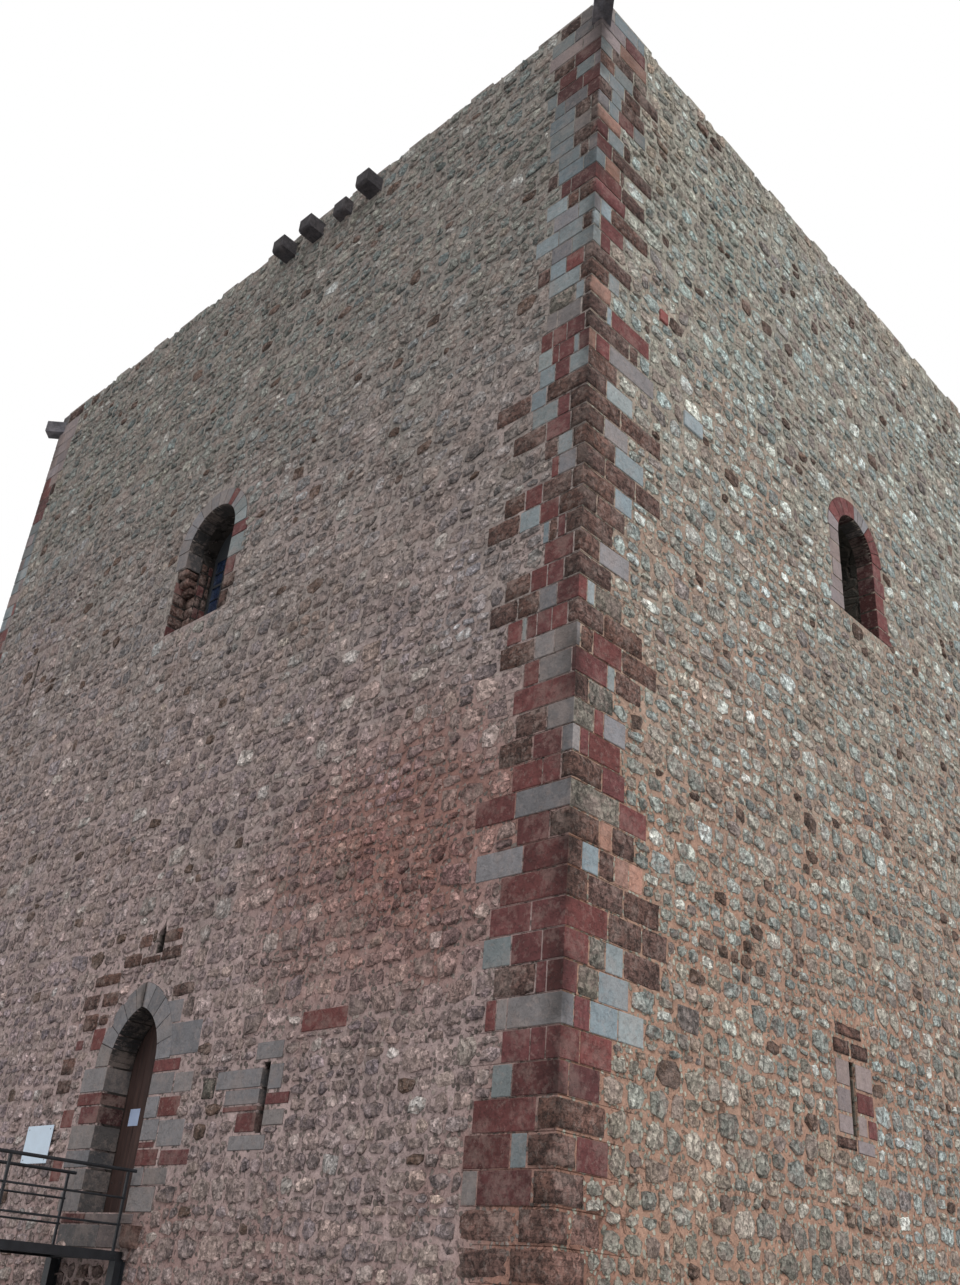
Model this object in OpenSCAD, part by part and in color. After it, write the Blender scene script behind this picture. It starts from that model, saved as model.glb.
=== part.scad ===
// A square castle keep of rubble masonry with dressed quoins.
// It is entered at first-floor level, by a steel gangway and a pointed doorway.
// The origin is on the ground, in the middle of the keep. +Z is up.
// The door wall faces -Y and the wall with the single side window faces +X.

/* [Keep] */
// Outside width of each side of the square plan
keep_side = 16700; // [14500:100:18500]
// Height of the wall head above the ground
keep_h = 20200; // [19000:100:22000]
// Thickness of the walls
wall_t = 2200; // [1800:50:2500]
// Height of the terrace below the wall head
parapet_h = 350; // [300:10:450]
// Thickness of what is left of the parapet
parapet_t = 600; // [500:50:800]
// Thickness of the two raised floors and of the terrace
floor_t = 350; // [250:10:450]
// Thickness of the paving on the ground
paving_t = 150; // [100:10:250]
// Height of the entrance floor above the ground
entrance_z = 2480; // [2300:20:2800]
// Height of the upper floor above the ground
upper_z = 10900; // [10200:100:11200]

/* [Quoins] */
// Height of one course of dressed stone
course_h = 320; // [280:10:340]
// Length of a long quoin
quoin_long = 1060; // [800:20:1300]
// Length of a short quoin
quoin_short = 560; // [400:20:700]
// How far the lengths wander from course to course
quoin_wander = 130; // [0:10:180]
// Width and depth of the mortar joints
joint = 12; // [6:1:20]

/* [Doorway] */
// Distance of the doorway from the middle of the front wall
door_x = 770; // [0:10:1200]
// Clear width of the doorway
door_w = 1164; // [1000:4:1240]
// Height from the sill to where the arch springs
door_spring = 1840; // [1700:10:2000]
// Rise of the pointed arch
door_rise = 750; // [680:10:900]
// Width of the ring of arch stones
ring_w = 340; // [280:10:380]
// Depth of the dressed stones round the doorway
reveal_d = 390; // [340:10:440]
// How much wider than the doorway the recess behind them is on each side
recess_side = 178; // [168:5:238]
// Thickness of the boarded leaf
leaf_t = 70; // [50:5:90]
// How far the leaf laps over the dressed stones on each side
leaf_lap = 65; // [40:5:90]

/* [Front window] */
// Distance of the window from the middle of the front wall
front_win_x = -130; // [-600:10:600]
// Clear width of the front window
front_win_w = 1340; // [1100:10:1400]
// Height of its sill above the upper floor
front_win_sill = 660; // [500:10:900]
// Height from the sill to where its arch springs
front_win_spring = 1690; // [1400:10:1900]
// How far the broken left jamb has fallen back
front_win_break = 240; // [150:10:300]
// Depth at which the glazing stands
glazing_d = 560; // [400:10:700]

/* [Side windows] */
// Distance of the right-hand window from the middle of its wall
side_win_y = -1270; // [-2000:10:2000]
// Clear width of each side window
side_win_w = 1150; // [900:10:1200]
// Height of the sills above the upper floor
side_win_sill = 1020; // [800:10:1200]
// Height from the sill to where the arches spring
side_win_spring = 1510; // [1200:10:1600]

/* [Slits] */
// Width of a slit at the wall face
slit_w = 140; // [110:5:180]
// Height of the front slit
front_slit_h = 800; // [600:10:900]
// Height of the right-hand slit
side_slit_h = 890; // [700:10:950]
// Distance of the front slit from the middle of the wall
front_slit_x = 3810; // [3400:10:4400]
// Distance of the right-hand slit from the middle of the wall
side_slit_y = -2670; // [-3400:10:-2000]
// Distance of the upper slit from the middle of the front wall
upper_slit_x = -5870; // [-6000:10:-5200]
// Height of the front slit above the entrance floor
front_slit_sill = 850; // [600:10:1200]
// Height of the side and back slits above the entrance floor
side_slit_sill = 1470; // [1000:10:1600]
// Height of the upper slit above the upper floor
upper_slit_sill = 680; // [500:10:900]
// Height of the upper slit
upper_slit_h = 1040; // [800:10:1200]

/* [Corbels and spouts] */
// Distance from one machicolation corbel to the next
corbel_pitch = 820; // [700:10:900]
// Distance of the first corbel from the middle of the front wall
corbel_x = 596; // [400:4:800]
// Width of a corbel
corbel_w = 330; // [280:10:380]
// How far a corbel stands out
corbel_out = 360; // [300:10:420]
// Width and height of a corner spout
spout_s = 300; // [240:10:340]
// How far a spout reaches past the corner
spout_out = 460; // [350:10:600]

/* [Gangway] */
// Number of whole railing bays
bays = 4; // [2:1:6]
// Length of one bay
bay_l = 1600; // [1300:50:1800]
// Width between the two railings
gangway_w = 1460; // [1300:20:1560]
// Height of the beam's top above the ground
beam_z = 2040; // [1900:10:2100]
// Depth of the side beams
beam_h = 106; // [90:2:140]
// Height of the handrail above the beams
rail_h = 910; // [850:10:1100]
// Side of a square post
post_s = 30; // [25:1:40]
// Diameter of the handrail
handrail_d = 42; // [34:1:50]
// Diameter of the lower rails
rail_d = 26; // [20:1:30]
// Outside width of a leg
leg_s = 140; // [120:5:160]

/* [Hidden] */
half = keep_side / 2;
inner = half - wall_t;
roof_z = keep_h - parapet_h;
courses = round(roof_z / course_h);
course = floor(roof_z / courses);
over = 10;
$fn = 48;

// Doorway
door_l = door_x - door_w / 2;
door_r = door_x + door_w / 2;
recess_w = door_w + 2 * recess_side;
recess_l = door_x - recess_w / 2;
recess_r = door_x + recess_w / 2;
door_radius = (door_w * door_w / 4 + door_rise * door_rise) / door_w;
spring_z = entrance_z + door_spring;
apex_z = spring_z + door_rise;
recess_over_apex = 230;
recess_top = apex_z + recess_over_apex;
door_band_top = recess_top + 300;
reveal_y = -half + reveal_d;
leaf_gap = 6;
sill_gap = 15;
leaf_w = door_w + 2 * leaf_lap;
leaf_over_apex = 160;
leaf_h = apex_z + leaf_over_apex - entrance_z - sill_gap;
pin_r = 14;
pin_play = 0.5;
eye_r = 26;
hinge_side = 32;
hinge_back = 30;
hinge_x = door_x + leaf_w / 2 + hinge_side;
hinge_y = reveal_y + leaf_gap + leaf_t + hinge_back;
strap_t = 8;
strap_h = 60;
strap_levels = [0.14, 0.5, 0.86];

door_jamb_long = 860;
door_jamb_short = 540;
door_jamb_n = 6;
door_stones = 4;
ledge_t = 25;
ledge_h = 150;
ledge_in = 40;
boards = 7;
groove_w = 5;
groove_d = 7;
strap_l = 900;
pin_foot = 40;
pin_over = 12;
pin_under = 6;
sill_h = 170;
sill_d = 600;
sill_over = 260;
sill_joint_left = 120;
sill_joint_mid = 190;
threshold_side = 330;
threshold_drop = 60;
threshold_w = 220;
threshold_out = 150;
threshold_h = 250;
threshold_x = door_r + threshold_side;

// Hole over the doorway
hole_x = 890;
hole_z = door_band_top + 200;
hole_w = 210;
hole_side_h = 270;
hole_h = 450;
hole_peak = 50;
hole_d = 700;

// Windows
window_outer_d = 900;
win_jamb_long = 420;
win_jamb_short = 250;
win_jamb_n = 4;
light_w = 520;
light_pitch = 560;
light_h = 510;
light_sunk = 22;
frame_t = 60;
frame_foot = 60;
win_d = 300;
win_ring = 330;
splay = 320;
inner_sill_drop = 200;
front_break_under = 350;
front_jamb_h = 760;
front_jamb_n = 2;
front_win_z = upper_z + front_win_sill;
front_win_spring_z = front_win_z + front_win_spring;
side_win_z = upper_z + side_win_sill;
side_win_spring_z = side_win_z + side_win_spring;
storey_z = upper_z - floor_t;

// Slits
front_slit_z = entrance_z + front_slit_sill;
side_slit_z = entrance_z + side_slit_sill;
upper_slit_z = upper_z + upper_slit_sill;
slit_long = 420;
slit_mid = 300;
slit_short = 190;
slit_lintel = 250;
slit_bed_1 = 0.34;
slit_bed_2 = 0.62;
slit_stone_d = 260;
slit_sill_h = 200;
slit_splay = 700;

// Ragged top of the wall head
lost_h = 120;
lost_least = 0.05;
head_corner = 1300;
lost_l = 520;
lost_n = floor((keep_side - 2 * head_corner) / lost_l);

// Corbels and spouts
corbel_h = 300;
corbel_z = roof_z - corbel_h;
corbel_nose = 70;
corbel_tail = 500;
corbel_broken = 0.55;
spout_drop = 220;
spout_z = roof_z - spout_drop;
spout_channel_w = 120;
spout_channel_h = 100;
spout_in = parapet_t * sqrt(2) + 200;
spout_worn = 0.7;

// Gangway
gangway_x = door_x;
gangway_end_gap = 160;
gangway_y0 = -half - gangway_end_gap;
gangway_l = bays * bay_l;
rail_x = gangway_w / 2;
web = 7;
flange = 55;
deck_t = 40;
handrail_run = 110;
rail_run = 30;
rail_mid = 0.65;
rail_low = 0.32;
cross_w = 50;
beam_past = 60;
plank_w = 150;
plank_gap = 8;
plank_groove = 12;
leg_t = 10;
leg_out = 30;
foot_s = 240;
foot_t = 15;

// Place of the posts of pair k along the gangway.
function post_y(k) = gangway_y0 - k * bay_l;

// Helpers

// A box from one corner to the opposite one.
module span(low, high) {
  translate(low) cube(high - low);
}

// Turns what is drawn for the front wall onto wall k: 0 front, 1 right, 2 back, 3 left.
module on_wall(k) {
  rotate([0, 0, 90 * k]) children();
}

// A cylinder that runs into the wall from depth d0 to depth d1.
module into_wall(r, d0, d1) {
  translate([0, d1 - half, 0]) rotate([90, 0, 0]) cylinder(h = d1 - d0, r = r);
}

// Length of the quoin of course i along the front face (side 0) or the side face (side 1).
function quoin_len(i, side) =
  ((i + side) % 2 == 0 ? quoin_long : quoin_short) + round(quoin_wander * sin(i * 97 + side * 61));

// Course i of a corner that stands at the origin, with the wall towards +X and +Y.
// The last course is a little higher, and reaches the terrace level.
module quoin_course(i) {
  top = i == courses - 1 ? roof_z : (i + 1) * course;
  span([0, 0, i * course], [quoin_len(i, 0), quoin_len(i, 1), top]);
}

// Moves what is drawn for a corner at the origin to corner k:
// 0 front right, 1 front left, 2 back left, 3 back right.
module at_corner(k) {
  to_right = k == 0 || k == 3;
  to_back = k == 2 || k == 3;
  translate([to_right ? half : -half, to_back ? half : -half, 0])
    mirror([to_right ? 1 : 0, 0, 0])
      mirror([0, to_back ? 1 : 0, 0])
        children();
}

// The room that a spout takes up at a corner, from its bed upward.
module spout_room() {
  rotate([0, 0, 45])
    span([-spout_out, -spout_s / 2, spout_z], [spout_in, spout_s / 2, keep_h + over]);
}

// The room that the quoins of corner k take up between two heights.
module quoin_room(k, z0, z1) {
  first = floor(z0 / course);
  last = min(courses, ceil(z1 / course)) - 1;
  at_corner(k) {
    for (i = [first:last]) quoin_course(i);
    if (z1 > spout_z) spout_room();
  }
}

// Height of bed i when the height from z0 to z1 is shared by n courses, to a whole millimetre.
function level(z0, z1, n, i) = round(z0 + (z1 - z0) * i / n);

// Walls

// Part of the front wall between two heights, with room for the quoins of its corners.
module front_band(x0, x1, z0, z1) {
  difference() {
    span([x0, -half, z0], [x1, -inner, z1]);
    if (x1 > inner) quoin_room(0, z0, z1);
    if (x0 < -inner) quoin_room(1, z0, z1);
  }
}

// Part of a side wall, which stands between the front and the back wall.
module side_band(z0, z1) {
  span([-inner, -half, z0], [inner, -inner, z1]);
}

// A round-headed opening from depth d0 to depth d1.
module round_opening(w, z0, z1, d0, d1) {
  span([-w / 2, d0 - half, z0], [w / 2, d1 - half, z1]);
  translate([0, 0, z1]) into_wall(w / 2, d0, d1);
}

// A window right through the wall, wider inside than outside.
module window_opening(w, z0, z1) {
  round_opening(w, z0, z1, -over, window_outer_d);
  round_opening(w + 2 * splay, z0 - inner_sill_drop, z1, window_outer_d, wall_t + over);
}

// A slit right through the wall, splayed inward.
module slit_opening(z0, h) {
  throat = -half + slit_stone_d;
  translate([0, 0, z0])
    linear_extrude(h)
      polygon([
        [-slit_w / 2, -half - over], [slit_w / 2, -half - over],
        [slit_w / 2, throat], [slit_splay / 2, -inner + over],
        [-slit_splay / 2, -inner + over], [-slit_w / 2, throat]
      ]);
}

// Dressed stones

// Stones of a jamb, to the right of x = 0, alternately long and short.
module jamb_stones(long, short, n, z0, z1, depth) {
  for (i = [0:n - 1])
    span([0, -half, level(z0, z1, n, i)],
         [i % 2 == 0 ? long : short, depth - half, level(z0, z1, n, i + 1)]);
}

// Mortar joints between the stones of a jamb, on its face and on its reveal.
module jamb_joints(long, n, z0, z1, depth) {
  for (i = [1:n - 1])
    translate([0, -half, level(z0, z1, n, i) - joint / 2]) {
      translate([-over, -over, 0]) cube([long + 2 * over, joint + over, joint]);
      translate([-over, -over, 0]) cube([joint + over, depth + 2 * over, joint]);
    }
}

// A jamb with its joints raked out.
module jamb(long, short, n, z0, z1, depth) {
  difference() {
    jamb_stones(long, short, n, z0, z1, depth);
    jamb_joints(long, n, z0, z1, depth);
  }
}

// The joint between two arch stones, at an angle from +X round the centre of the arch.
module arch_joint(r0, r1, angle, depth) {
  rotate([0, -angle, 0])
    translate([r0 - over, -half - over, -joint / 2]) {
      cube([r1 - r0 + 2 * over, joint + over, joint]);
      cube([joint + over, depth + 2 * over, joint]);
    }
}

// Upper half of a disc that runs into the wall, for a round arch.
module arch_body(r, depth) {
  intersection() {
    into_wall(r, 0, depth);
    span([-r, -half - over, 0], [r, depth - half + over, r]);
  }
}

// A round arch of n stones.
module round_arch(w, n, ring, depth) {
  r0 = w / 2;
  r1 = r0 + ring;
  difference() {
    arch_body(r1, depth);
    into_wall(r0, -over, depth + over);
    for (i = [1:n - 1]) arch_joint(r0, r1, i * 180 / n, depth);
  }
}

// A pointed shape that runs into the wall, with both arcs widened by extra.
module pointed_body(extra, d0, d1) {
  r = door_radius + extra;
  offset_x = door_radius - door_w / 2;
  intersection() {
    translate([offset_x, 0, 0]) into_wall(r, d0, d1, $fn = 180);
    translate([-offset_x, 0, 0]) into_wall(r, d0, d1, $fn = 180);
    span([-r, d0 - half - over, 0], [r, d1 - half + over, r]);
  }
}

// All the room that the dressed stones round the doorway take up in the wall.
module door_dressing_room() {
  translate([door_x, 0, spring_z]) pointed_body(ring_w, -over, reveal_d);
  for (m = [0, 1])
    translate([m == 0 ? door_r : door_l, 0, 0])
      mirror([m, 0, 0])
        jamb_stones(door_jamb_long, door_jamb_short, door_jamb_n, entrance_z, spring_z, reveal_d);
}

// The room that the dressed stones of a side window take up.
module window_dressing_room(w, z0, z1) {
  translate([0, 0, z1]) arch_body(w / 2 + win_ring, win_d);
  for (m = [0, 1]) mirror([m, 0, 0])
    translate([w / 2, 0, 0]) jamb_stones(win_jamb_long, win_jamb_short, win_jamb_n, z0, z1, win_d);
}

// One course of the stones round a slit, from left to right of its middle.
module slit_course(left, right, z0, z1) {
  span([-left, -half, z0], [right, slit_stone_d - half, z1]);
}

// Stones round a slit: a sill, three courses of jamb stones and a lintel.
module slit_stones(z0, h) {
  bed_1 = z0 + round(h * slit_bed_1);
  bed_2 = z0 + round(h * slit_bed_2);
  slit_course(slit_long, slit_lintel, z0 - slit_sill_h, z0);
  slit_course(slit_long, slit_short, z0, bed_1);
  slit_course(slit_mid, slit_mid, bed_1, bed_2);
  slit_course(slit_long, slit_short, bed_2, z0 + h);
  slit_course(slit_lintel, slit_lintel, z0 + h, z0 + h + slit_sill_h);
}

// A corbel with a rounded nose, tailed into the wall.
module corbel(w, out, h) {
  nose = min(corbel_nose, h - 20, out - 20);
  translate([-w / 2, 0, 0]) {
    span([0, -half - out + nose, 0], [w, -half + corbel_tail, h]);
    span([0, -half - out, nose], [w, -half - out + nose + 1, h]);
    translate([0, -half - out + nose, nose]) rotate([0, 90, 0]) cylinder(h = w, r = nose);
  }
}

// Nodes

module front_wall_base() {
  color("#8d7d72")
    difference() {
      front_band(-half, half, 0, entrance_z);
      door_sill_room();
      threshold_corbel_body();
    }
}

module front_wall_door_left() {
  color("#8d7d72")
    difference() {
      front_band(-half, recess_l, entrance_z, door_band_top);
      door_dressing_room();
    }
}

module front_wall_door_right() {
  color("#8d7d72")
    difference() {
      front_band(recess_r, half, entrance_z, door_band_top);
      door_dressing_room();
      translate([front_slit_x, 0, 0]) {
        slit_opening(front_slit_z, front_slit_h);
        slit_stones(front_slit_z, front_slit_h);
      }
    }
}

module front_wall_over_door() {
  color("#8d7d72")
    difference() {
      union() {
        front_band(-half, half, door_band_top, storey_z);
        span([recess_l, -half, recess_top], [recess_r, -inner, door_band_top]);
        span([recess_l, -half, spring_z], [recess_r, reveal_y, recess_top]);
      }
      translate([door_x, 0, spring_z]) pointed_body(ring_w, -over, reveal_d);
      translate([hole_x, 0, hole_z]) {
        span([-hole_w / 2, -half - over, 0], [hole_w / 2, hole_d - half, hole_side_h]);
        translate([0, -half + hole_d, hole_side_h]) rotate([90, 0, 0])
          linear_extrude(hole_d + over)
            polygon([[-hole_w / 2, 0], [hole_w / 2, 0], [hole_peak, hole_h - hole_side_h]]);
      }
    }
}

module front_wall_window_storey() {
  color("#867a6c")
    difference() {
      front_band(-half, half, storey_z, roof_z);
      translate([front_win_x, 0, 0]) {
        window_opening(front_win_w, front_win_z, front_win_spring_z);
        translate([0, 0, front_win_spring_z]) arch_body(front_win_w / 2 + win_ring, win_d);
        front_jamb_room();
        span([-front_win_w / 2 - front_win_break, -half - over, front_win_z],
             [0, win_d - half, front_win_spring_z - front_break_under]);
      }
      translate([upper_slit_x, 0, 0]) slit_opening(upper_slit_z, upper_slit_h);
      machicolation_corbels_bodies();
    }
}

module right_wall_lower() {
  color("#a89c8a") on_wall(1)
    difference() {
      side_band(0, storey_z);
      translate([side_slit_y, 0, 0]) {
        slit_opening(side_slit_z, side_slit_h);
        slit_stones(side_slit_z, side_slit_h);
      }
    }
}

module side_window_wall(x) {
  difference() {
    side_band(storey_z, roof_z);
    translate([x, 0, 0]) {
      window_opening(side_win_w, side_win_z, side_win_spring_z);
      window_dressing_room(side_win_w, side_win_z, side_win_spring_z);
    }
  }
}

module right_wall_upper() {
  color("#a89c8a") on_wall(1) side_window_wall(side_win_y);
}

module back_wall_lower() {
  color("#8d7d72") on_wall(2)
    difference() {
      front_band(-half, half, 0, storey_z);
      slit_opening(side_slit_z, side_slit_h);
    }
}

module back_wall_upper() {
  color("#867a6c") on_wall(2)
    difference() {
      front_band(-half, half, storey_z, roof_z);
      window_opening(side_win_w, side_win_z, side_win_spring_z);
      window_dressing_room(side_win_w, side_win_z, side_win_spring_z);
    }
}

module left_wall_lower() {
  color("#a89c8a") on_wall(3)
    difference() {
      side_band(0, storey_z);
      slit_opening(side_slit_z, side_slit_h);
    }
}

module left_wall_upper() {
  color("#a89c8a") on_wall(3) side_window_wall(0);
}

module quoins(k) {
  color("#6b4743")
    at_corner(k)
      difference() {
        for (i = [0:courses - 1]) quoin_course(i);
        for (i = [1:courses - 1])
          translate([0, 0, i * course - joint / 2]) {
            translate([-over, -over, 0]) cube([quoin_long * 1.5, joint + over, joint]);
            translate([-over, -over, 0]) cube([joint + over, quoin_long * 1.5, joint]);
          }
        spout_room();
      }
}
module quoins_front_right() { quoins(0); }
module quoins_front_left() { quoins(1); }
module quoins_back_left() { quoins(2); }
module quoins_back_right() { quoins(3); }

// The stub of the parapet. Its top is ragged where stones have been lost.
module wall_head() {
  color("#8f8474")
    difference() {
      span([-half, -half, roof_z], [half, half, keep_h]);
      span([-half + parapet_t, -half + parapet_t, roof_z - over],
           [half - parapet_t, half - parapet_t, keep_h + over]);
      for (k = [0:3]) {
        at_corner(k) spout_room();
        on_wall(k)
          for (i = [0:lost_n - 1]) {
            drop = lost_h * (lost_least + (1 - lost_least) * (1 + sin(i * 131 + k * 47)) / 2);
            span([-half + head_corner + i * lost_l, -half - over, keep_h - drop],
                 [-half + head_corner + (i + 1) * lost_l, -half + parapet_t + over, keep_h + over]);
          }
      }
      machicolation_corbels_bodies();
    }
}

// Dressed stones of the doorway

module door_arch() {
  turn = acos((door_radius - door_w / 2) / door_radius);
  color("#777a7c")
    translate([door_x, 0, spring_z])
      difference() {
        pointed_body(ring_w, 0, reveal_d);
        pointed_body(0, -over, reveal_d + over);
        for (m = [0, 1]) mirror([m, 0, 0])
          for (i = [1:door_stones])
            translate([door_w / 2 - door_radius, 0, 0])
              arch_joint(door_radius, door_radius + ring_w, i * turn / (door_stones + 0.5), reveal_d);
      }
}

module door_jambs() {
  color("#75706f")
    for (m = [0, 1])
      translate([m == 0 ? door_r : door_l, 0, 0])
        mirror([m, 0, 0])
          jamb(door_jamb_long, door_jamb_short, door_jamb_n, entrance_z, spring_z, reveal_d);
}

// The room of the two courses under the doorway.
module door_sill_room() {
  span([door_l - sill_over, -half, entrance_z - sill_h], [door_r + sill_over / 2, sill_d - half, entrance_z]);
  span([door_l - sill_over, -half, entrance_z - 2 * sill_h],
       [door_r - sill_over, sill_d - half, entrance_z - sill_h]);
}

module door_sill() {
  color("#7d7a78")
    difference() {
      door_sill_room();
      translate([door_l - sill_over - over, -half - over, entrance_z - sill_h - joint / 2])
        cube([door_w + 2 * sill_over + 2 * over, joint + over, joint]);
      for (x = [door_l + sill_joint_left, door_x + sill_joint_mid])
        translate([x - joint / 2, -half - over, entrance_z - sill_h])
          cube([joint, joint + over, sill_h + over]);
    }
}

module threshold_corbel_body() {
  translate([threshold_x, 0, entrance_z - 2 * sill_h - threshold_drop])
    corbel(threshold_w, threshold_out, threshold_h);
}

module threshold_corbel() {
  color("#5e4a42") threshold_corbel_body();
}

// The boarded leaf, of vertical boards on three ledges.
module door_leaf() {
  y0 = reveal_y + leaf_gap;
  x0 = door_x - leaf_w / 2;
  z0 = entrance_z + sill_gap;
  board_t = leaf_t - ledge_t;
  color("#33241c")
    difference() {
      union() {
        span([x0, y0, z0], [x0 + leaf_w, y0 + board_t, z0 + leaf_h]);
        for (f = strap_levels)
          span([x0 + ledge_in, y0 + board_t, z0 + f * leaf_h - ledge_h / 2],
               [x0 + leaf_w, y0 + leaf_t, z0 + f * leaf_h + ledge_h / 2]);
      }
      for (i = [1:boards - 1])
        translate([x0 + i * leaf_w / boards - groove_w / 2, y0 - over, z0 - over])
          cube([groove_w, groove_d + over, leaf_h + 2 * over]);
    }
}

// Straps on the inside of the leaf, each with an eye for its pin.
module door_straps() {
  y0 = reveal_y + leaf_gap + leaf_t;
  color("#26262a")
    for (f = strap_levels)
      translate([hinge_x, 0, entrance_z + sill_gap + f * leaf_h - strap_h / 2])
        difference() {
          union() {
            span([-strap_l, y0, 0], [0, y0 + strap_t, strap_h]);
            translate([0, hinge_y, 0]) cylinder(h = strap_h, r = eye_r);
          }
          translate([0, hinge_y, -over]) cylinder(h = strap_h + 2 * over, r = pin_r + pin_play);
        }
}

// Pins that stand on brackets in the side of the recess.
module door_pintles() {
  color("#26262a")
    for (f = strap_levels)
      translate([hinge_x, hinge_y, entrance_z + sill_gap + f * leaf_h - strap_h / 2]) {
        translate([0, 0, -pin_foot]) cylinder(h = pin_foot + strap_h + pin_over, r = pin_r);
        span([-pin_r, -pin_r, -pin_foot], [recess_r - hinge_x, pin_r, -pin_under]);
      }
}

// Dressed stones of the windows

module front_window_arch() {
  color("#74787a")
    translate([front_win_x, 0, front_win_spring_z]) round_arch(front_win_w, 9, win_ring, win_d);
}

// Only two stones of the right jamb are left, just under the arch.
module front_jamb_room() {
  z0 = front_win_spring_z - front_jamb_h;
  translate([front_win_w / 2, 0, 0])
    jamb_stones(win_jamb_short, win_jamb_long, front_jamb_n, z0, front_win_spring_z, win_d);
}

module front_window_jamb() {
  z0 = front_win_spring_z - front_jamb_h;
  color("#70747a")
    translate([front_win_x + front_win_w / 2, 0, 0])
      jamb(win_jamb_short, win_jamb_long, front_jamb_n, z0, front_win_spring_z, win_d);
}

// The glazed frame, with three sunk lights on each side of its middle post.
module front_window_glazing() {
  color("#1d2630")
    translate([front_win_x, 0, 0])
      difference() {
        round_opening(front_win_w, front_win_z, front_win_spring_z, glazing_d, glazing_d + frame_t);
        for (x = [-front_win_w / 4, front_win_w / 4])
          for (z = [0:2])
            translate([x - light_w / 2, glazing_d - half - over, front_win_z + frame_foot + z * light_pitch])
              cube([light_w, over + light_sunk, light_h]);
      }
}

module side_window_arch() {
  translate([0, 0, side_win_spring_z]) round_arch(side_win_w, 7, win_ring, win_d);
}

module side_window_jambs() {
  for (m = [0, 1]) mirror([m, 0, 0])
    translate([side_win_w / 2, 0, 0])
      jamb(win_jamb_long, win_jamb_short, win_jamb_n, side_win_z, side_win_spring_z, win_d);
}

module right_window_arch() {
  color("#7c5148") on_wall(1) translate([side_win_y, 0, 0]) side_window_arch();
}

module right_window_jambs() {
  color("#7c5148") on_wall(1) translate([side_win_y, 0, 0]) side_window_jambs();
}

module back_window_surround() {
  color("#74787a") on_wall(2) {
    side_window_arch();
    side_window_jambs();
  }
}

module left_window_surround() {
  color("#74787a") on_wall(3) {
    side_window_arch();
    side_window_jambs();
  }
}

module slit_surround(z0, h) {
  difference() {
    slit_stones(z0, h);
    slit_opening(z0, h);
  }
}

module front_slit_surround() {
  color("#75757a") translate([front_slit_x, 0, 0]) slit_surround(front_slit_z, front_slit_h);
}

module right_slit_surround() {
  color("#8a7f7c") on_wall(1) translate([side_slit_y, 0, 0]) slit_surround(side_slit_z, side_slit_h);
}

// Corbels and spouts

// The third corbel has lost its end.
module machicolation_corbels_bodies() {
  for (i = [0:3])
    translate([corbel_x + i * corbel_pitch, 0, corbel_z])
      corbel(corbel_w, i == 2 ? corbel_out * corbel_broken : corbel_out, corbel_h);
}

module machicolation_corbels() {
  color("#3d4044") machicolation_corbels_bodies();
}

// The spout at the front left has worn back to a shorter stub.
module corner_spouts() {
  color("#6f6f70")
    for (k = [0:3])
      at_corner(k)
        rotate([0, 0, 45])
          difference() {
            span([k == 1 ? -spout_out * spout_worn : -spout_out, -spout_s / 2, spout_z], [spout_in, spout_s / 2, spout_z + spout_s]);
            span([-spout_out - over, -spout_channel_w / 2, spout_z + spout_s - spout_channel_h],
                 [spout_in + over, spout_channel_w / 2, spout_z + spout_s + over]);
          }
}

// Floors

module floor_slab(top) {
  span([-inner, -inner, top - floor_t], [inner, inner, top]);
}

// Paving on the ground inside the walls.
module basement_floor() {
  color("#6d5f50") span([-inner, -inner, 0], [inner, inner, paving_t]);
}

module entrance_floor() {
  color("#6d5f50") floor_slab(entrance_z);
}

module upper_floor() {
  color("#6d5f50") floor_slab(upper_z);
}

module roof_terrace() {
  color("#77716a") floor_slab(roof_z);
}

// Gangway

module each_side() {
  for (s = [-1, 1])
    translate([gangway_x, 0, 0])
      scale_side(s) children();
}

// Keeps the right side as drawn and mirrors it for the left side.
module scale_side(s) {
  if (s > 0) children();
  else mirror([1, 0, 0]) children();
}

// Side beams: channels with their backs outward.
module gangway_beams() {
  outer = rail_x + post_s / 2;
  color("#17191d")
    each_side()
      translate([outer, -half, beam_z])
        rotate([90, 0, 0])
          linear_extrude(gangway_end_gap + gangway_l + beam_past)
            polygon([
              [0, 0], [0, -beam_h], [-flange, -beam_h], [-flange, -beam_h + web],
              [-web, -beam_h + web], [-web, -web], [-flange, -web], [-flange, 0]
            ]);
}

// Cross members between the beams, one at each pair of posts.
module gangway_cross_members() {
  reach = rail_x + post_s / 2 - web;
  color("#1b1d21")
    for (k = [0:bays])
      span([gangway_x - reach, post_y(k) - cross_w / 2, beam_z - beam_h + web],
           [gangway_x + reach, post_y(k) + cross_w / 2, beam_z - web - deck_t]);
}

// The deck, grooved into boards across the gangway.
module gangway_deck() {
  reach = rail_x + post_s / 2 - web;
  y_end = post_y(bays) - beam_past;
  n = floor((-half - y_end) / plank_w);
  color("#3b342d")
    difference() {
      span([gangway_x - reach, y_end, beam_z - web - deck_t], [gangway_x + reach, -half, beam_z - web]);
      for (i = [1:n])
        translate([gangway_x, -half - i * plank_w, beam_z - web - plank_groove])
          span([-reach - over, -plank_gap / 2, 0], [reach + over, plank_gap / 2, plank_groove + over]);
    }
}

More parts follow.
